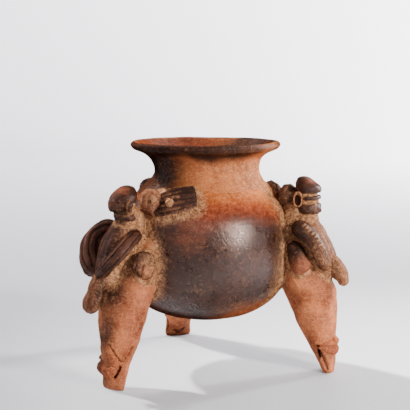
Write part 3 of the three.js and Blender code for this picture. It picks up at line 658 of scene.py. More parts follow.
def leg_rows(side):
    """Height, middle, half long, half wide and sideways of the leg, from the foot up."""
    leg = LEGS[side]
    long, wide = LEG_THICKNESS / 2, LEG_WIDTH / 2
    shaft = lambda share: ANKLE_HEIGHT + (HIP - ANKLE_HEIGHT) * share
    hip = lambda share: HIP + (LEG_TOP - HIP) * share
    rows = [
        [0, out(0), 5.4, leg["foot"] * 0.5],
        [4, out(-0.015), 6.6, leg["foot"] * 0.53],
        [ANKLE_HEIGHT, out(-0.114), long * 0.41, wide * 0.57],
        [shaft(0.36), out(-0.248), long * 0.62, wide * 0.76],
        [shaft(0.71), out(-0.356), long * 0.82, wide * 0.9],
        [HIP, out(-0.44), long * 0.93, wide * 0.97],
        [hip(0.18), out(-0.525), long, wide],
        [hip(0.35), out(-0.653), long * 0.92, wide * 0.99],
        [hip(0.56), out(-0.767), long * 0.67, wide * 0.93],
        [hip(0.75), out(-0.866), long * 0.47, wide * 0.82],
        [hip(0.9), out(-0.955), long * 0.27, wide * 0.66],
        [LEG_TOP, out(-1.027), long * 0.13, wide * 0.45],
    ]
    return [[*row, leg["sway"] * s] for row, s in zip(rows, SWAY)]


def leg_section(side, height):
    """Middle, half long, half wide and sideways of the leg at a height."""
    rows = np.array(leg_rows(side))
    return [np.interp(height, rows[:, 0], rows[:, k]) for k in (1, 2, 3, 4)]


def on_leg(side, height, degrees, lift, hand=1):
    """A place over the leg's surface at a height and a way round the leg."""
    middle, long, wide, sideways = leg_section(side, height)
    a = math.radians(degrees)
    return [middle + (long + lift) * math.cos(a), sideways + hand * (wide + lift) * math.sin(a), height]


# %% Carving with booleans
SLIT_HALF_HEIGHT, SLIT_HALF_WIDTH = 7, 1.7
UNDER_SKIN = 1.6     # how deep in the bowl's wall a leg ends


def carve(thing, cutters):
    """Takes the cutters away from the thing, for good."""
    for cutter in cutters:
        cut = thing.modifiers.new("cut", "BOOLEAN")
        cut.operation, cut.solver, cut.object = "DIFFERENCE", "EXACT", cutter
    bpy.context.view_layer.update()
    shape = thing.evaluated_get(bpy.context.evaluated_depsgraph_get())
    shape = bpy.data.meshes.new_from_object(shape)
    thing.modifiers.clear()
    thing.data = shape
    for cutter in cutters:
        bpy.data.objects.remove(cutter)


def slot_cutter(side):
    """The rattle slit: a ragged slot through the foot's wall, pinched on the left leg."""
    slit_turn, slit_lean, slit_rise = LEGS[side]["slit"]
    height = SOLE + 2 * SLIT_HALF_HEIGHT * 0.42 + slit_rise
    middle, _, wide, sideways = leg_section(side, height)
    sections = []
    for share in np.linspace(-1, 1, 15):
        ragged = SLIT_HALF_WIDTH * math.sqrt(max(0.02, 1 - abs(share) ** 4))
        ragged += 0.28 * math.sin(share * 7 + 1.2)
        if side == "left":
            ragged *= 0.3 if abs(share) < 0.05 else 1.3 if share < 0 else 1.0
        y, z = 0.45 * math.sin(share * 3.1), share * SLIT_HALF_HEIGHT
        corners = ((0, -1), (2 * wide, -1), (2 * wide, 1), (0, 1))
        sections.append([[x, y + hand * ragged, z] for x, hand in corners])
    x, y, z = np.moveaxis(np.array(sections), 2, 0)
    lean, turn = math.radians(slit_lean), math.radians(slit_turn)
    y, z = y * math.cos(lean) - z * math.sin(lean), y * math.sin(lean) + z * math.cos(lean)
    x, y = x * math.cos(turn) - y * math.sin(turn), x * math.sin(turn) + y * math.cos(turn)
    points, faces = skin(np.stack([x + middle, y + sideways, z + height], 2))
    return linked("slit_" + side, in_place(points, AZIMUTHS[side]), faces)


def hollow_cutter(side):
    """The leg's inside, a wall's thickness in from its skin, up to under the bowl."""
    rows = []
    for height in np.linspace(SOLE, LEG_TOP - (LEG_TOP - HIP) * 0.3, 9):
        middle, long, wide, sideways = leg_section(side, height)
        rows.append([height, middle, long - LEG_WALL, wide - LEG_WALL, sideways])
    points, faces = skin(column(rows, 40, 36))
    return linked("hollow_" + side, in_place(points, AZIMUTHS[side]), faces)


def bowl_cutter():
    """The bowl filled to just under its outer surface: the legs end in its wall."""
    points, faces = skin(turned(even(bowl_line(UNDER_SKIN, 50), 3.0), 160))
    return linked("bowl_filled", in_place(points), faces)


# %% [markdown]
# The left leg has a crack that runs in a wide U above its ankle, and the right one a long
# groove beside its slit. Both are sunk into the mesh before the hollow is cut: the points near
# the line of the crack are pushed in by about a millimetre.

# %% Cracks and scratches
CRACKS = {     # the places that each crack goes through, its width and its depth
    "left": [([(134.5, 5.0, 42.5), (134.3, 5.4, 39.5), (133.2, 8.4, 36.0), (131.4, 11.6, 30.5),
               (129.0, 14.0, 28.0), (125.4, 16.2, 28.0), (123.3, 17.3, 33.5), (118.3, 18.9, 41.0)],
              1.1, 1.1)],
    "right": [([(119.3, -16.6, 30.0), (121.6, -15.0, 23.0), (125.6, -13.7, 13.0), (129.5, -12.8, 4.5)],
               1.5, 0.9)],
    "back": [([(136.0, -6.0, 40.0), (133.0, -12.0, 33.0), (127.0, -16.0, 31.0)], 0.9, 0.4)],
}


def along_line(points, line):
    """Each point's distance to a broken line."""
    best = np.full(len(points), 1e9)
    for a, b in zip(np.array(line[:-1]), np.array(line[1:])):
        t = np.clip(((points - a) @ (b - a)) / ((b - a) @ (b - a)), 0, 1)
        best = np.minimum(best, np.linalg.norm(points - a - t[:, None] * (b - a), axis=1))
    return best


def crack_on(side, line):
    """A ragged line through the places, laid on the leg's surface."""
    line = through(line, np.linspace(0, 1, 32))
    line += 0.3 * np.stack([waves(line, 5, 3 + k) for k in range(3)], 1)
    middle, long, wide, sideways = leg_section(side, line[:, 2])
    turn = np.arctan2((line[:, 1] - sideways) / wide, (line[:, 0] - middle) / long)
    return np.stack([middle + long * np.cos(turn), sideways + wide * np.sin(turn), line[:, 2]], 1)


for side in LEGS:
    leg_skin = skin(column(leg_rows(side), 168, 144))
    thing = piece("leg_" + side, [leg_skin], "leg_clay", AZIMUTHS[side], lumps=None)
    rest = points_of(thing)
    knead(thing, ((26, 0.55), (9, 0.22)), 100 + len(side))
    points, normals = points_of(thing), normals_of(thing)
    own = from_frame(points, side)
    for line, width, depth in CRACKS[side]:
        away = along_line(own, crack_on(side, line))
        push = depth * (spot(away, width) - 0.6 * spot(away - 2.1 * width, width))
        points -= normals * (push / 1000)[:, None]
    keep = ease(own[:, 2], 0.5, 4.0)[:, None]     # the sole stays flat
    set_points(thing, rest * (1 - keep) + points * keep)
    carve(thing, [bowl_cutter(), hollow_cutter(side), slot_cutter(side)])
    print(thing.name, len(thing.data.vertices), "points")

# %% [markdown]
# ## The knotted bands
# Two or three thin rolls of clay go round the front of each ankle and are pinched together
# into a knot, as a cord would be. They are rolls along an arc of the ankle, with slow lumps
# along them, and two knobs where the knot is.

# %% Ankle bands
def ankle_roll(side, places, seed):
    """A roll laid on the ankle. A place is degrees round the leg, height, half width, half
    depth, lift."""
    stations = [[*on_leg(side, height, turn, lift), wide, deep]
                for turn, height, wide, deep, lift in places]
    lumpy = lambda u, t: 1 + 0.07 * np.cos(31 * u + t + seed) + 0.05 * np.cos(57 * u + seed)
    return skin(roll(stations, (0, 0, 1), 24, 64, blunt=0.8, section=lumpy)[0])


def knob(centre, halves, sides=28):
    """A pressed lump of clay."""
    fall = np.linspace(0.04, np.pi - 0.04, sides)[::-1]
    x = centre[0] + halves[0] * np.sin(fall)[:, None] * np.cos(turns(sides))
    y = centre[1] + halves[1] * np.sin(fall)[:, None] * np.sin(turns(sides))
    z = centre[2] + halves[2] * np.cos(fall)[:, None] * np.ones(sides)
    return np.stack([x, y, z], 2)


BANDS = {
    "left": [
        [(-100, 19, 2.0, 1.2, 0), (-72, 19, 4.0, 2.2, 0.3), (-46, 18, 5.4, 2.8, 0.4),
         (-15, 15.5, 5.0, 2.2, 0.2), (8, 15, 4.8, 2.2, 0), (20, 16.5, 4.3, 2.2, 0),
         (32, 21.5, 3.0, 1.8, -0.1)],
        [(4, 43, 1.4, 0.8, -0.3), (9, 39.5, 2.3, 1.1, -0.2), (18, 33.5, 3.0, 1.4, -0.1),
         (30, 27.5, 3.6, 1.5, -0.1), (40, 22.5, 3.2, 1.3, -0.2)],
        [(-56, 27.0, 1.4, 1.1, 0.1), (-40, 27.5, 2.2, 1.6, 0.2), (-20, 25.0, 1.6, 1.0, 0),
         (0, 22.0, 1.2, 0.8, 0)],
    ],
    "right": [
        [(-114, 33, 0.9, 0.8, 0), (-94, 31.6, 1.1, 1.0, 0), (-68, 30.6, 1.5, 1.3, 0),
         (-40, 30.6, 2.4, 2.0, 0.2), (-16, 31.6, 3.6, 2.8, 0.5), (14, 31.5, 3.0, 2.2, 0.3),
         (60, 30.5, 2.4, 1.8, 0)],
        [(-96, 26.6, 0.9, 0.8, 0), (-66, 24.6, 1.4, 1.2, 0), (-36, 21.8, 2.6, 2.0, 0.1),
         (-12, 22.8, 4.2, 3.0, 0.5), (16, 23.2, 3.8, 2.6, 0.3), (66, 24.0, 2.8, 2.0, 0)],
    ],
    "back": [
        [(-80, 24, 1.8, 1.4, 0), (-40, 23.5, 3.0, 2.2, 0), (-10, 23.5, 4.2, 3.0, 0.4),
         (20, 24, 3.6, 2.4, 0.2), (74, 25, 2.0, 1.4, 0)],
        [(-66, 31, 1.4, 1.2, 0), (-30, 30.5, 2.2, 1.8, 0), (-6, 31, 3.2, 2.4, 0.3),
         (30, 30.5, 2.4, 1.8, 0), (64, 31, 1.6, 1.2, 0)],
    ],
}
KNOTS = {     # degrees round the leg, height, and the knob's three half widths
    "left": [(-50, 18.6, 4.4, 5.2, 7.2), (-44, 28.2, 2.0, 2.6, 2.4)],
    "right": [(-21, 32.4, 2.9, 4.0, 3.6), (-8, 23.2, 3.2, 4.6, 4.2)],
    "back": [(-14, 24.0, 3.0, 4.6, 4.2), (-4, 31.0, 2.4, 3.6, 3.0)],
}
for side in LEGS:
    skins = [ankle_roll(side, places, 2.0 * i) for i, places in enumerate(BANDS[side])]
    skins += [skin(knob(on_leg(side, high, turn, 0.6), halves)) for turn, high, *halves in KNOTS[side]]
    piece("ankle_band_" + side, skins, "leg_clay", AZIMUTHS[side], lumps=((6, 0.6), (2.6, 0.28)))
print(made_of("ankle"))

# %% [markdown]
# ## The figures' bodies
# Each figure lies on the leg's sloping top with its back turned outwards: one thick roll that
# narrows from the shoulders to the rump. Rolls between stations give the same slow swelling
# that clay gets between two palms, and a few lengthwise grooves are drawn with a stick.

# %% Lines drawn along a roll
def lines_along(turn, places, width):
    """How near each point of a roll is to lengthwise lines at the given turns."""
    near = [spot(np.angle(np.exp(1j * (turn - place))), width) for place in places]
    return np.clip(sum(near), 0, 1)


def within(u, start, end, soft=0.08):
    """1 between two shares of a roll's length, and 0 beyond them."""
    return ease(u, start - soft, start) * ease(end + soft - u, 0, soft)


def scored(places, width, *span):
    """Lines drawn along a roll, as a function of the roll's u and turn."""
    return lambda u, turn: lines_along(turn, places, width) * within(u, *span)


# %% Torsos
TORSO = [     # shares outwards and upwards, of the half width and of the half depth
    (-0.9, 0.56, 0.5, 0.76), (-0.82, 0.3, 0.66, 0.96), (-0.69, 0.11, 0.84, 1.1), (-0.445, -0.11, 1, 1),
    (-0.27, -0.36, 0.92, 0.92), (-0.075, -0.61, 0.62, 0.72), (0.075, -0.77, 0.36, 0.5)]
TORSO_WIDTH, TORSO_DEPTH = 19, 15
back_lines = scored([1.15, 1.5, 1.9], 0.09, 0.42, 0.85)
for side, leg in LEGS.items():
    stations = [[out(x), 0, up(z), TORSO_WIDTH * w, TORSO_DEPTH * d] for x, z, w, d in TORSO]
    rings, u, turn = roll(stations, (0, 1, 0), 72, 80, section=lambda u, t: 1 - 0.04 * back_lines(u, t))
    crust = lines_along(turn, [0.0 if leg["near"] > 0 else np.pi], 0.8)
    if side == "left":
        slot, slip, soil = "dark_slip", 1.0 - 0.9 * crust, 0.08 + 0.85 * crust
    else:
        slot, slip, soil = "figure_clay", 0.5, 0.35 + 0.4 * ease(0.4 - u, 0, 0.15) + 0.2 * crust
    # The lines on the back are darkened with painted shade.
    piece("torso_" + side, [skin(rings)], slot, AZIMUTHS[side] + leg["body_turn"],
          groove=0.45 * back_lines(u, turn), slip=slip, soil=soil, red=0.25)
print(made_of("torso"))

# %% [markdown]
# ## The heads
# A head is a stump of clay with a domed cap pressed over it, a thin brow strip and a heavier
# jaw strip round its front, and a ring for an ear on each side. The strips are rolls bent
# round the stump. Between them the bare clay shows as a pale band, but on the left head this
# recess is painted dark with slip, as shade.

# %% Strips round a head
HEAD_LONG, HEAD_WIDE, STRIP = 10.5, 11.3, 2.6


def head_middle(side):
    return out(-0.565) + LEGS[side]["shift"]


def on_head(side, share):
    return LEG_TOP + 19 + LEGS[side]["head"] * share


def strip(side, share, high, deep, reach, back=0.0, tip=0.0, rise=0.0, lift=0.0, section=None):
    """A strip round the head's front, as a roll."""
    stations = []
    for t in np.linspace(-1, 1, 13):
        turn = math.radians(reach) * t
        swell = 1 + tip * math.exp(-(turn / 0.45) ** 2)
        x = head_middle(side) - back + (HEAD_LONG + 0.6) * swell * math.cos(turn)
        y = (HEAD_WIDE + 0.4) * math.sin(turn)
        z = on_head(side, share) + lift + rise * math.exp(-(turn / 0.6) ** 2)
        stations.append([x, y, z, high * (1 - 0.2 * t * t), deep * (1 - 0.15 * t * t)])
    return skin(roll(stations, (0, 0, 1), 28, 84, blunt=0.7, section=section)[0])


# %% Heads, caps, brows and jaws
CAP = [     # rise above the cap's foot, outwards, shares of the half length and the half width
    (-0.9, 0, 0.74, 0.74), (-0.2, 0, 0.92, 0.92), (2.6, 0.3, 1, 1), (7.2, -0.4, 0.92, 0.94),
    (11.4, -2.2, 0.64, 0.68), (14.0, -3.4, 0.34, 0.36), (14.9, -3.8, 0.06, 0.06)]
for side, leg in LEGS.items():
    azimuth = AZIMUTHS[side] + leg["head_turn"]
    middle, back = head_middle(side), leg["chin_back"]
    stump = [(-0.63, -back, HEAD_LONG * 0.9, HEAD_WIDE * 0.8),
             (0, 0.6 - back * 0.8, HEAD_LONG * 0.9, HEAD_WIDE * 0.88),
             (0.47, -back * 0.3, HEAD_LONG, HEAD_WIDE),
             (0.62, 0, HEAD_LONG + 0.7, HEAD_WIDE + 0.7),
             (0.78, 0, HEAD_LONG, HEAD_WIDE),
             (1, -0.4, HEAD_LONG * 0.98, HEAD_WIDE),
             (1.28, -0.8, HEAD_LONG * 0.8, HEAD_WIDE * 0.8)]
    rows = [[on_head(side, share), middle + x, long, wide] for share, x, long, wide in stump]
    points, faces = skin(column(rows, 64, 52))
    # On the left head the front, the recess between brow and jaw, is painted dark with slip, as shade.
    front = ease(points[:, 0] - middle, -1, 5) if side == "left" else 0.0
    piece("head_" + side, [(points, faces)], "figure_clay", azimuth, slip=0.9 * front,
          soil=0.72 - 0.65 * front)

    cap_foot = on_head(side, 1) + 2.6
    lean, slip = leg["cap"]
    long, wide = HEAD_LONG + STRIP, HEAD_WIDE + STRIP
    rows = [[cap_foot + z, middle + x, long * a, wide * b] for z, x, a, b in CAP]
    points, faces = skin(column(rows, 64, 44))
    rise = ease(points[:, 2], cap_foot - 1, cap_foot + 12)
    away = points[:, 0] - middle
    points[:, 2] -= away * (0.2 * rise + lean * (1 - rise))
    top = ease(points[:, 2], cap_foot + 4, cap_foot + 12) * ease(away, -6, 4)
    piece("cap_" + side, [(points, faces)], "dark_slip", azimuth, slip=slip - 0.45 * top, soil=0.1,
          red=0.5 * top)

    share, high, tip, rise = leg["brow"]
    brow = strip(side, share, high, 2.1, 100, tip=tip, rise=rise)
    piece("brow_" + side, [brow], "dark_slip", azimuth, lumps=((4, 0.3),), slip=0.85, soil=0.15)
    high, reach, lift, soil = leg["jaw"]
    jaw = strip(side, 0.19, high, 2.3, reach, back=back * 1.12, lift=lift,
                section=lambda u, t: 1 + 0.05 * np.cos(60 * u))
    piece("jaw_" + side, [jaw], "dark_slip", azimuth, lumps=((6, 0.5), (3, 0.25)), slip=0.85, soil=soil)
print(made_of("head", "cap", "brow", "jaw"))

# %% [markdown]
# ## Ears and the bead at the nape
# An ear is a small coil closed into an almond ring round a sunk hollow, whose floor is painted
# dark, as shade. The nape carries a round bead with a raised centre. A torus and a sphere
# would be too true, so both are kneaded, and the bead gets a pressed groove round its middle.

# %% Ears
def ear_ring(side, hand):
    """The ring and the hollow's floor, each as a skin."""
    shift, aside, rise, radius, *_ = LEGS[side]["ear"]
    t, c = np.meshgrid(turns(56), turns(20), indexing="ij")
    radius = radius + (1.1 + 0.35 * np.sin(t)) * np.cos(c)
    x, z = radius * np.cos(t) * 0.82 / (1 + 0.1 * np.cos(2 * t)), radius * np.sin(t) * 1.24
    y = hand * (1.9 * np.sin(c) + 0.25 * x)
    ring = np.stack([x, y, z], 2).reshape(-1, 3)
    faces = [face[::-hand] for face in ring_faces(*t.shape, closed=True)]
    aside *= hand * HEAD_WIDE * 2
    middle = np.array([head_middle(side) + shift, aside, on_head(side, 0.76) + rise])
    floor_points, floor_faces = skin(knob((0, 0, 0), (4.6, 1.0, 6.4), 24))
    floor_points[:, 1] += hand * (0.25 * floor_points[:, 0] - 0.6)
    return (ring + middle, faces), (floor_points + middle, floor_faces)


for side, leg in LEGS.items():
    slip, soil = leg["ear"][4:]
    for number, hand in ((1, -1), (2, 1)):
        ring, floor = ear_ring(side, hand)
        # The hollow's floor gets painted shade and loses its soil.
        groove = np.repeat([0, 0.75], [len(ring[0]), len(floor[0])])
        piece(f"ear_{side}_{number}", [ring, floor], "figure_clay", AZIMUTHS[side] + leg["head_turn"],
              lumps=((4, 0.25),), slip=slip, soil=soil - groove * 0.8, groove=groove)

# %% Beads at the nape
def on_bowl(height, sideways, lift):
    """A place over the bowl at a height and a distance sideways, in the leg's frame."""
    reach = bowl_radius(height) + lift
    return np.array([math.sqrt(max(0, reach ** 2 - sideways ** 2)), sideways, height])


for side, leg in LEGS.items():
    (size, aside, lift, rise), (slip, pale, width) = leg["nape"], leg["bead"]
    centre = on_bowl(on_head(side, 0.88) + rise, aside, lift)
    points, faces = skin(knob(centre, (size * 0.44, size * 0.48, size * 0.5), 56))
    to_us = np.array([0.45, leg["near"] * 0.86, 0.25])
    to_us /= np.linalg.norm(to_us)
    away = points - centre
    off_centre = np.linalg.norm(away - (away @ to_us)[:, None] * to_us, axis=1)
    front = (away @ to_us) > 0
    outward = away / np.linalg.norm(away, axis=1)[:, None]
    raised = front * (0.9 * spot(off_centre, 3.2) - 0.7 * spot(off_centre - 5.6, 1.2))
    pale = front * pale * spot(off_centre, width)
    piece("nape_" + side, [(points + outward * raised[:, None], faces)], "dark_slip", AZIMUTHS[side],
          lumps=((9, 0.9), (4, 0.35)), slip=slip - 0.2 * pale, soil=0.34 + 0.5 * pale, red=0.25)
print(made_of("ear", "nape"))

# %% [markdown]
# ## The wings
# Each wing is a fat roll laid along the figure's flank. On the left leg the far wing is combed
# with deep lengthwise grooves and the near one is a slim diagonal band with two grooves. On the
# right leg the near wing has a few faint lines and a row of dashes raised along its crest.
# The section of the roll carries them all, so they are real and catch the light. The grooves
# are also darkened with painted shade, and the dashes are painted pale, a painted highlight.

# %% Wings
# spread: how far aside. tuck: how far its end is drawn in. slim: of its thickness. tip: of its
# end. lift, rise: its root and its end raised. forward, shift: its middle and all of it moved
# out. waist: of its middle. lines, or else ribs: its grooves, and deep: their depth.
PLAIN_WING = dict(spread=31, tuck=0.2, slim=1.0, tip=0.6, lift=0, forward=0.0, rise=0.0, shift=0.0,
                  waist=1.0, lines=(), ribs=9, deep=0.08)
WINGS = {
    ("left", 1): dict(spread=40, tuck=0.5, slim=1.05, tip=0.7, lift=3, forward=1.5, rise=6.0, deep=0.1),
    ("left", 2): dict(spread=28, tuck=1.2, slim=0.62, tip=0.7, forward=7.1, rise=7.5,
                      lines=(5.95, 4.75), deep=0.2),
    ("right", 1): dict(spread=30, tuck=0.0, slim=0.86, tip=0.45, lift=3, forward=5.0, rise=3.0,
                       shift=-2.6, waist=0.86, lines=(1.12, 1.4, 1.7, 2.0, 2.35, 2.7), deep=0.03),
    ("right", 2): dict(spread=30, tuck=0.0, forward=-1.5, deep=0.06),
    ("back", 1): {},
    ("back", 2): {},
}


def wing_stations(plan, hand):
    high, thick, aside = 10.5 * plan["slim"], 11.5 * plan["slim"], hand * plan["spread"]
    tuck, tip, lift, forward = (plan[k] for k in ("tuck", "tip", "lift", "forward"))
    rise, waist, low = plan["rise"], plan["waist"], (1 + tip) / 2
    stations = [
        [out(-0.79), aside * 0.46, up(0.07) + lift, high * 0.8, thick * 0.8],
        [out(-0.62) + forward * 0.66, aside * 0.68, up(0.01) + lift + rise * 0.2, high * 0.95, thick],
        [out(-0.35) + forward, aside * 0.8, up(-0.18) + lift * 0.7 + rise * 0.45,
         high * waist, thick * waist],
        [out(-0.13 + tuck * 0.06) + forward * 0.6, aside * (0.68 - tuck * 0.14),
         up(-0.45) + rise * 0.7, high * low * 1.08, thick * low * 1.12],
        [out(tuck * 0.14), aside * (0.36 - tuck * 0.3), up(-0.66 - tuck * 0.06) + rise,
         high * tip, thick * tip],
    ]
    return [[x + plan["shift"], *rest] for x, *rest in stations]


def nicks(u, t):
    """The raised dashes along a crest, 0 to 1."""
    dashes = ease(np.cos(u * 2 * np.pi * 19), -0.1, 0.5)
    return scored([0.78], 0.2, 0.2, 0.58, 0.03)(u, t) * dashes


for (side, number), own in WINGS.items():
    plan = PLAIN_WING | own
    hand, lines, deep = -1 if number == 1 else 1, plan["lines"], plan["deep"]
    nicked = (side, number) == ("right", 1)

    def combed(u, t):
        """How deep in a groove each point of the wing is, 0 to 1."""
        if lines:
            return scored(lines, 0.16 if deep > 0.1 else 0.07, 0.1, 0.93)(u, t)
        ribs = 0.5 - 0.5 * np.cos(plan["ribs"] * t + 0.5 * np.sin(3 * u))
        return ribs ** 2.2 * within(u, 0.1, 0.93)

    section = lambda u, t: 1 - deep * combed(u, t) + (0.09 * nicks(u, t) if nicked else 0)
    rings, u, turn = roll(wing_stations(plan, hand), (0.66, 0, 0.75), 120, 128, section=section)
    # valley darkens the grooves with painted shade; pale paints the raised dashes as a painted
    # highlight.
    valley, pale = combed(u, turn), nicks(u, turn) if nicked else 0
    worn = (0.08 if lines else 0.22) * (1 - valley) + (0.16 if side == "right" else 0)
    rubbed = ease(u, 0.22, 0.7) * (0.35 + 0.65 * valley if nicked else 0)
    piece(f"wing_{side}_{number}", [skin(rings)], "dark_slip", AZIMUTHS[side] + LEGS[side]["body_turn"],
          lumps=((14, 0.4), (5, 0.15)), slip=0.98 - worn - 0.6 * pale - 0.45 * rubbed,
          groove=(0.7 if deep > 0.04 else 0) * valley,
          soil=LEGS[side]["soil"][1] + 1.1 * pale + 0.4 * rubbed, red=0.1)
print(made_of("wing"))

# %% [markdown]
# ## Tails and paws
# The tail is a flattened leaf that hangs from the rump, and the paws are drops of clay pressed
# into the crook between the leg and the bowl. The left leg's near paw has toes marked with a
# few short cuts. The tail's lines and the cuts are darkened with painted shade.

# %% Tails
tail_lines = scored([1.2, 1.9, 4.71], 0.14, 0.1, 0.85)
for side, leg in LEGS.items():
    start, drop, root, slip, soil = leg["tail"]
    stations = [[out(0.025) + start - root * 0.4, 0, up(-0.57) + start + root, 7.0, 4.8 + root * 0.3],
                [out(0.2) + start - root * 0.3, 0, up(-0.68) - drop * 0.3, 9.5, 6.0 + root * 0.4],
                [out(0.31) + drop * 0.1, 0, up(-0.8) - drop * 0.75, 10.0, 6.0],
                [out(0.335) + drop * 0.16, 0, up(-0.91) - drop, 8.0, 5.4]]
    rings, u, turn = roll(stations, (0, 1, 0), 56, 60, section=lambda u, t: 1 - 0.06 * tail_lines(u, t))
    edge = ease(np.abs(np.cos(turn)), 0.7, 0.95)
    # The tail's lines are darkened with painted shade.
    piece("tail_" + side, [skin(rings)], "figure_clay", AZIMUTHS[side] + leg["body_turn"],
          slip=slip + 0.5 * edge * (1 - u), soil=0.32 - 0.1 * u + soil, red=0.4 * u,
          groove=0.4 * tail_lines(u, turn))

# %% Paws
PAW_DEPTH, TOES = 6.5, [5.2, 5.9, 4.2]
PAW = [(0, 0.66, 0.8), (0.4, 0.9, 1), (0.8, 1, 1), (1, 0.85, 0.85)]     # along, width, depth
for side, leg in LEGS.items():
    drop, swing, length, width = leg["paw"]
    for number, hand in ((1, -1), (2, 1)):
        stations = []
        for share, w, d in PAW:
            place = on_leg(side, LEG_TOP - drop - length * share, swing, PAW_DEPTH * 0.25, hand)
            stations.append([*place, width / 2 * w, PAW_DEPTH * d])
        toed = (side, number) == ("left", 2)
        cuts = lambda u, t: lines_along(t, TOES, 0.13) * ease(u, 0.5, 0.62) * toed
        rings, u, turn = roll(stations, (1, 0, 0.3), 72, 64, section=lambda u, t: 1 - 0.12 * cuts(u, t))
        # The cuts are darkened with painted shade.
        rim = ease(np.cos(turn), 0.3, 0.9) * toed
        piece(f"paw_{side}_{number}", [skin(rings)], "figure_clay", AZIMUTHS[side],
              lumps=((10, 0.5), (5, 0.25)), slip=np.maximum(0.3 + 0.6 * ease(0.6 - u, -0.15, 0.3), rim),
              groove=0.7 * cuts(u, turn), soil=0.12 + 0.12 * u + 0.3 * (1 - rim) * toed, red=0.5 * u)
print(made_of("tail", "paw"))

# %% [markdown]
# ## The bundle and its stud
# Beside each nape lies a bundle, as of reeds tied together: a blunt roll with deep lengthwise
# furrows and a far end that is cut almost square. A small stud of paler clay sits on its side.

# %% Bundles and studs
REEDS, RIDGES = [0.35, 0.85, 1.3, 1.75, 2.2, 2.7], [1.08, 1.52, 1.98, 2.45]
BUNDLE_THICKNESS, BUNDLE_START = 13.5, 8
lying = scored(REEDS, 0.1, 0.12, 0.97, 0.05)
furrows = lambda u, t: lying(u, t + 0.06 * np.sin(7 * u + 3 * t))
for side, leg in LEGS.items():
    length, width, end = leg["bundle"]
    bundle = [(0.536, 0, end, 0.75), (0.59, 0.28, 0.95, 1), (0.65, 0.56, 1, 1),
              (0.69, 0.82, (1 + end) / 2, 0.95), (0.72, 1, end, 0.9)]
    stations = []
    for height, along, w, d in bundle:
        place = on_bowl(up(height), BUNDLE_START + length * along, BUNDLE_THICKNESS * 0.1)
        stations.append([*place, width / 2 * w, BUNDLE_THICKNESS / 2 * d])
    rings, u, turn = roll(stations, (-0.46, -0.2, 0.86), 120, 90, blunt=0.22,
                          section=lambda u, t: 1 - 0.12 * furrows(u, t))
    ridge = scored(RIDGES, 0.13, 0.1, 0.62, 0.14)(u, turn)
    foot = lines_along(turn, [3.3], 0.7)
    # The furrows are darkened with painted shade.
    piece("bundle_" + side, [skin(rings)], "dark_slip", AZIMUTHS[side], lumps=((9, 0.4), (4, 0.18)),
          slip=1.0 - 0.3 * ridge - 0.15 * foot, groove=0.6 * furrows(u, turn),
          soil=leg["soil"][0] + 0.3 * ridge + 0.15 * foot, red=0.1)
    centre = on_bowl(up(0.62), BUNDLE_START + length * 0.53, BUNDLE_THICKNESS * 0.55)
    piece("stud_" + side, [skin(knob(centre, (3.6, 3.9, 4.0), 28))], "figure_clay", AZIMUTHS[side],
          lumps=((3, 0.25),), soil=0.85)
print(made_of("bundle", "stud"))

# %% [markdown]
# ## The loose pellets
# Two small balls of fired clay lie in the toe of each hollow leg and make it rattle. They are
# never quite round. Each rides on its own body, because each slides up and down its leg.

# %% Pellets
for node in (f"pellet_{side}_{number}" for side in LEGS for number in (1, 2)):
    low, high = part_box(node)
    half = (high.z - low.z) / 2 * 1000
    ball = skin(knob((0, 0, 0), (half, half * 0.97, half * 0.98), 26))
    thing = piece(node, [ball], "pellet_clay", lumps=((4, 0.12),), body=node, soil=0.3)
    set_points(thing, points_of(thing) - AXIS + (np.array(low) + np.array(high)) / 2)
print(made_of("pellet"))

# %% [markdown]
# ## Luting the pieces on
# A potter doesn't stand one lump on another: slip is smeared into the joint and the edge is
# pressed outwards, so that each piece flares a little where it meets the next, and tan soil
# collects there later. A voxel remesh of the whole pot would round the joints as well, but it
# would melt the pieces into one. Here every point looks for the nearest surface that its piece
# is luted to. Close to it the point moves sideways, along that surface, and takes on soil.

# %% Nearest surfaces
def tree_of(nodes):
    """One search tree over several pieces."""
    points, faces = [], []
    for node in nodes:
        start = len(points)
        points += [v.co.copy() for v in made[node].data.vertices]
        faces += [[start + i for i in face.vertices] for face in made[node].data.polygons]
    return BVHTree.FromPolygons(points, faces)


def gaps(points, tree, limit):
    """Signed distance in mm to the tree's surface, and that surface's normal."""
    distance = np.full(len(points), limit)
    normal = np.zeros((len(points), 3))
    for i, point in enumerate(points):
        place, direction, _, far = tree.find_nearest(Vector(point), limit / 1000)
        if place is not None:
            inside = (Vector(point) - place).dot(direction) < 0
            distance[i] = -far * 1000 if inside else far * 1000
            normal[i] = direction
    return distance, normal


def kind_and_side(node):
    words = node.split("_")
    side = next(word for word in words if word in LEGS)
    return "_".join(words[: words.index(side)]), side


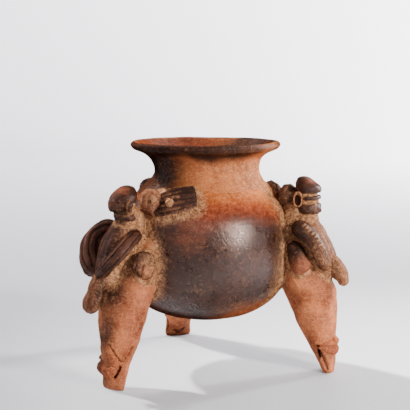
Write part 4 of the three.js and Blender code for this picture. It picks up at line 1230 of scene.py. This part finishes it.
# %% Flared edges
# What each kind of piece is luted to, how far its edge flares there and over what width, and how
# much soil and how much shadow the seam holds.
SEAMS = {
    "torso": [("leg", 3.0, 4.0, 0.9, 0), ("bowl", 3.0, 4.0, 1.0, 0)],
    "head": [("torso", 2.0, 3.0, 0.6, 0)],
    "cap": [("head", 0, 1, 0, 0.5)],
    "brow": [("head", 0, 1, 0, 0.5)],
    "jaw": [("head", 0, 1, 0.2, 0.4)],
    "nape": [("bowl", 1.4, 3.0, 0.9, 0)],
    "ear": [("head", 0.4, 1.5, 0.6, 0)],
    "wing": [("torso", 0.6, 2.0, 0.1, 0.6), ("leg", 1.4, 2.5, 0.75, 0)],
    "tail": [("leg", 2.2, 4.0, 0.8, 0), ("torso", 1.5, 3.0, 0.5, 0.1)],
    "paw": [("leg", 1.6, 2.5, 0.6, 0.1), ("bowl", 1.6, 2.5, 0.7, 0)],
    "bundle": [("bowl", 1.0, 2.0, 0.75, 0)],
    "stud": [("bundle", 0.5, 1.0, 0.4, 0)],
    "ankle_band": [("leg", 0.6, 1.2, 0.3, 0.22)],
    "leg": [("bowl", 1.6, 4.0, 0.75, 0)],
}
SEAM_REACH = {"leg": 9.0, "torso": 4.5, "cap": 1.0, "brow": 1.0, "jaw": 1.2, "wing": 1.8}
LOOK_FOR, LOOK_ROUND = 9.0, 16.0     # how far away a surface is still noticed

seam_soil, seam_shadow, flared = {}, {}, {}
luted = made_of(*SEAMS)
trees = {node: tree_of([node]) for node in made_of("bowl", "leg", "torso", "head", "bundle")}
for node in luted:
    kind, side = kind_and_side(node)
    points, normals = points_of(made[node]), normals_of(made[node])
    moved = points.copy()
    soil, shadow = np.zeros(len(points)), np.zeros(len(points))
    for carrier, flare, width, soiled, dark in SEAMS[kind]:
        tree = trees["bowl" if carrier == "bowl" else f"{carrier}_{side}"]
        distance, surface = gaps(points, tree, LOOK_FOR)
        near = spot(np.maximum(distance, 0), width)
        sideways = normals - (normals * surface).sum(1)[:, None] * surface
        size = np.linalg.norm(sideways, axis=1)
        sideways /= np.maximum(size, 1e-6)[:, None]
        moved += sideways * (flare * near * ease(size, 0.15, 0.6) / 1000)[:, None]
        close = spot(np.maximum(distance, 0), SEAM_REACH.get(kind, 2.6))
        soil, shadow = np.maximum(soil, soiled * close), np.maximum(shadow, dark * close)
    if kind == "leg":
        moved[:, 2] = np.maximum(moved[:, 2], points[:, 2].min())
    flared[node], seam_soil[node], seam_shadow[node] = moved, soil, shadow
for node, moved in flared.items():
    set_points(made[node], moved)
print("luted", len(luted), "pieces")

# %% [markdown]
# The carriers swell towards what they carry, too, and soil lies round each join. The bowl is
# looked at against everything that touches it, and each leg, torso and head against the pieces
# of its own figure.

# %% Fillets and soil on the carriers
def swell_round(node, others, height, width, soil_width, soiled=1.0, dark=0.0):
    """Raises a fillet `height` mm high round the others, and lays soil and shadow there."""
    points, normals = points_of(made[node]), normals_of(made[node])
    distance, _ = gaps(points, tree_of(others), LOOK_ROUND)
    outside = np.maximum(distance, 0)
    near = spot(outside, width) * (distance > -4)
    set_points(made[node], points + normals * (height * near / 1000)[:, None])
    seam_soil[node] = np.maximum(seam_soil.get(node, 0), soiled * spot(outside, soil_width))
    seam_shadow[node] = np.maximum(seam_shadow.get(node, 0), dark * spot(outside, 1.3))


def pieces_of(side, kinds):
    return [node for node in luted if node.startswith(kinds) and kind_and_side(node)[1] == side]


small = made_of("stud", "ankle", "cap", "brow", "jaw", "ear")
on_the_bowl = [node for node in luted if node not in small]
swell_round("bowl", on_the_bowl, height=1.6, width=2.6, soil_width=9.0)
# A carrier, what it carries, and the fillet's height, width, soil's width, soil and shadow.
FILLETS = [("leg", ("torso", "wing", "tail", "paw"), 1.2, 2.0, 5.0, 0.9),
           ("torso", ("wing",), 0.4, 1.4, 2.0, 0.1, 0.7),
           ("torso", ("head", "nape", "jaw"), 0.6, 1.4, 3.0, 0.6),
           ("head", ("nape", "ear", "cap", "brow", "jaw"), 0.3, 1.0, 2.0, 0.6, 0.45)]
for side in LEGS:
    for carrier, kinds, *sizes in FILLETS:
        swell_round(f"{carrier}_{side}", pieces_of(side, kinds), *sizes)
print("fillets", 1 + len(LEGS) * len(FILLETS))

# %% [markdown]
# ## Painting the bowl
# The fire has left three zones on the bowl: a golden, grainy shoulder, a narrow red band under
# it and a dark, shining belly that turns reddish again near the bottom. They are painted by
# height and by the way round, -90 degrees being in front, with the edges of the zones moved by
# slow waves.

# %% The bowl's zones
SOIL_PATCHES = [     # strength, way round, width, height, half height
    (0.3, -127, 9, 105, 34), (0.7, -26, 13, 104, 36), (0.22, -93, 7, 94, 8), (0.3, -104, 13, 163, 8),
    (0.15, 60, 40, 100, 22)]


def paint(thing, **layers):
    """Writes each layer, 0 to 1, on the points of the thing."""
    for name, values in layers.items():
        layer = thing.data.attributes.get(name) or thing.data.attributes.new(name, "FLOAT", "POINT")
        values = np.broadcast_to(np.clip(values, 0, 1), len(thing.data.vertices))
        layer.data.foreach_set("value", values.astype(np.float32))


def round_pot(thing, size, seed):
    """Radius, way round in degrees, height and slow waves at each point, and the smoke: the
    dark patch on the left of the neck and the shoulder."""
    points = points_of(thing)
    x, y, height = ((points - AXIS) * 1000).T
    degrees, wander = np.degrees(np.arctan2(y, x)), waves(points * 1000, size, seed)
    smoked = spot(way(degrees, -168), 58) * ease(height + 4 * wander, 166, 186)
    return np.hypot(x, y) + pressed((points - AXIS) * 1000), degrees, height, wander, smoked


def facing(degrees):
    """A function of a way round the pot and a width: 1 near that way, 0 away from it."""
    return lambda centre, wide: spot(way(degrees, centre), wide)


radius, degrees, height, wander, smoked = round_pot(bowl, 60, 11)
near = facing(degrees)
outer = radius > bowl_radius(height) - 3.2
edge = height + 3.5 * wander - 9 * near(-140, 45) + 5 * near(-30, 35)
thin = patch_at(degrees, height, -104, 20, 142, 24)     # where the slip is rubbed thin
# The slip covers the belly and the smoked left side, and is worn off at the bottom's right.
slip = ease(edge, 188, 136) * (0.97 + 0.1 * near(-125, 40))
slip = np.maximum(slip * (1 - 0.6 * ease(height, 92, 62) * near(-45, 38)), 1.1 * smoked)
slip = np.maximum(slip, 0.95 * near(-148, 13) * ease(height, 140, 165)) - 0.4 * thin
# The red band lies between belly and shoulder, and the worn bottom is reddish too.
red = 0.12 + ease(edge, 136, 156) * ease(edge, 186, 160) * (0.55 + 0.45 * near(-55, 50))
red += 0.6 * ease(height, 84, 60) * near(-45, 45) + 0.5 * thin
# Soil dusts the shoulder and lies in patches. Only the belly's front is rubbed to a shine.
soil = 0.3 * ease(edge, 164, 186) * (1 - smoked) + 0.05 + 0.05 * wander + 0.12 * thin
soil += 0.22 * ease(height, 96, 66) * near(-45, 40) + 0.5 * near(-22, 9) * ease(height, 132, 160)
soil += sum(strength * patch_at(degrees, height, *place) for strength, *place in SOIL_PATCHES)
dull = np.maximum(ease(edge, 146, 168), 0.8 * ease(np.abs(way(degrees, -65)), 48, 76))
paint(bowl, slip=np.where(outer, slip, 0.6), red=np.where(outer, red, 0.2),
      dull=np.maximum(dull, 0.7 * ease(height, 96, 70)),
      soil=np.where(outer, np.maximum(soil, 0.85 * seam_soil["bowl"]), 0.3 + 0.2 * wander))
print("bowl painted,", int(outer.sum()), "points outside")

# %% [markdown]
# The neck is the shoulder's bare clay, smoked on the left, with a dark slip on the lip. Inside
# the mouth the clay is red on the left and slipped on the right.

# %% The neck's zones
radius, degrees, height, wander, smoked = round_pot(neck, 40, 12)
near = facing(degrees)
mouth = (height > NECK_FOOT) & (radius < np.interp(height, [192, 205, 218, 229], [52, 52, 59, 72]))
slip = np.maximum(0.08 + 0.9 * ease(height + 4 * wander, 206, 224), 1.3 * smoked)
slip = np.maximum(slip, 0.85 * near(90, 60) * ease(height, 186, 196))
slip *= 1 - 0.4 * near(-25, 40)
soil = 0.26 * ease(height, 218, 196) * (1 - smoked) + 0.1 + 0.12 * near(-25, 40)
soil += 0.16 * ease(height, 197, 207) * ease(height, 217, 209) * (1 - smoked)
red = 0.25 * ease(height, 186, 206) * (1 - smoked) + 0.2 * ease(height, 192, 186)
mouth_slip = ease(way(degrees, 75) + 12 * wander, 18, -22)
mouth_slip = np.where(np.abs(way(degrees, 75)) > 150, 0.4, mouth_slip)
paint(neck, dull=smoked, slip=np.where(mouth, 0.52 + 0.3 * mouth_slip, slip),
      red=np.where(mouth, 0.8 * (1 - mouth_slip), red),
      soil=np.where(mouth, 0.12 + 0.1 * wander, soil))
print("neck painted,", int(mouth.sum()), "points in the mouth")

# %% [markdown]
# ## Painting the legs and the figures
# The legs stay the colour of the clay: orange, pinker at the foot, browner and soiled towards
# the figures. The cracks, the slit and the hollow are painted dark, as shade, and the left leg
# and its band get painted shade on their outer side. The figures keep what was painted on each
# of them when it was made, and add the soil and the painted shadow of their seams.

# %% Legs and bands
for side in LEGS:
    thing, band = made["leg_" + side], made["ankle_band_" + side]
    own = from_frame(points_of(thing), side)
    middle, long, wide, sideways = leg_section(side, own[:, 2])
    depth = np.hypot((own[:, 0] - middle) / long, (own[:, 1] - sideways) / wide)
    hollow = (depth < 0.93) & (own[:, 2] > 3) & (own[:, 2] < 125)
    # Painted shade: the hollow and the cracks are darkened.
    groove = np.where(hollow, 0.6, 0.0)
    for line, width, _ in CRACKS[side]:
        groove = np.maximum(groove, 0.95 * spot(along_line(own, crack_on(side, line)), width * 0.75))
    wander = waves(points_of(thing) * 1000, 24, 13)
    brown_and_shade = 0.16 + 0.25 * ease(own[:, 2], 62, 112) + 0.16 * wander
    shaded = 0
    if side == "left":     # its outer side, away from the light, gets painted shade
        brown_and_shade += 0.4 * ease(own[:, 0] - middle - 0.5 * (own[:, 1] - sideways), 4, 4 + 0.8 * long)
        # Its band's outer side gets painted shade too.
        x, y, z = from_frame(points_of(band), side).T
        shaded = ease(x - y - leg_section(side, z)[0], 6, 22)
    soil = 0.06 + 0.2 * ease(own[:, 2], 55, 110) + 0.06 * wander
    paint(thing, groove=groove, slip=np.where(hollow, 0.3, brown_and_shade), red=0.3 + 0.3 * wander,
          soil=np.maximum(soil, seam_soil["leg_" + side]))
    # The band's seams hold painted shade as well.
    paint(band, soil=np.maximum(0.22, 0.5 * seam_soil["ankle_band_" + side]), slip=0.1 + 0.5 * shaded,
          red=0.4, groove=0.8 * seam_shadow["ankle_band_" + side])

# %% Figures
for node, layers in skin_paint.items():
    if node == "bowl" or node.startswith(("neck", "leg", "ankle")):
        continue
    if node in seam_soil:
        # The seams' painted shadow joins the painted shade of the grooves.
        layers["soil"] = np.maximum(layers["soil"], seam_soil[node])
        layers["groove"] = np.maximum(layers.get("groove", 0), seam_shadow[node])
    paint(made[node], **layers)
print("painted", len(skin_paint), "pieces")

# %% Sizes and the end
print("points", sum(len(thing.data.vertices) for thing in made.values()))
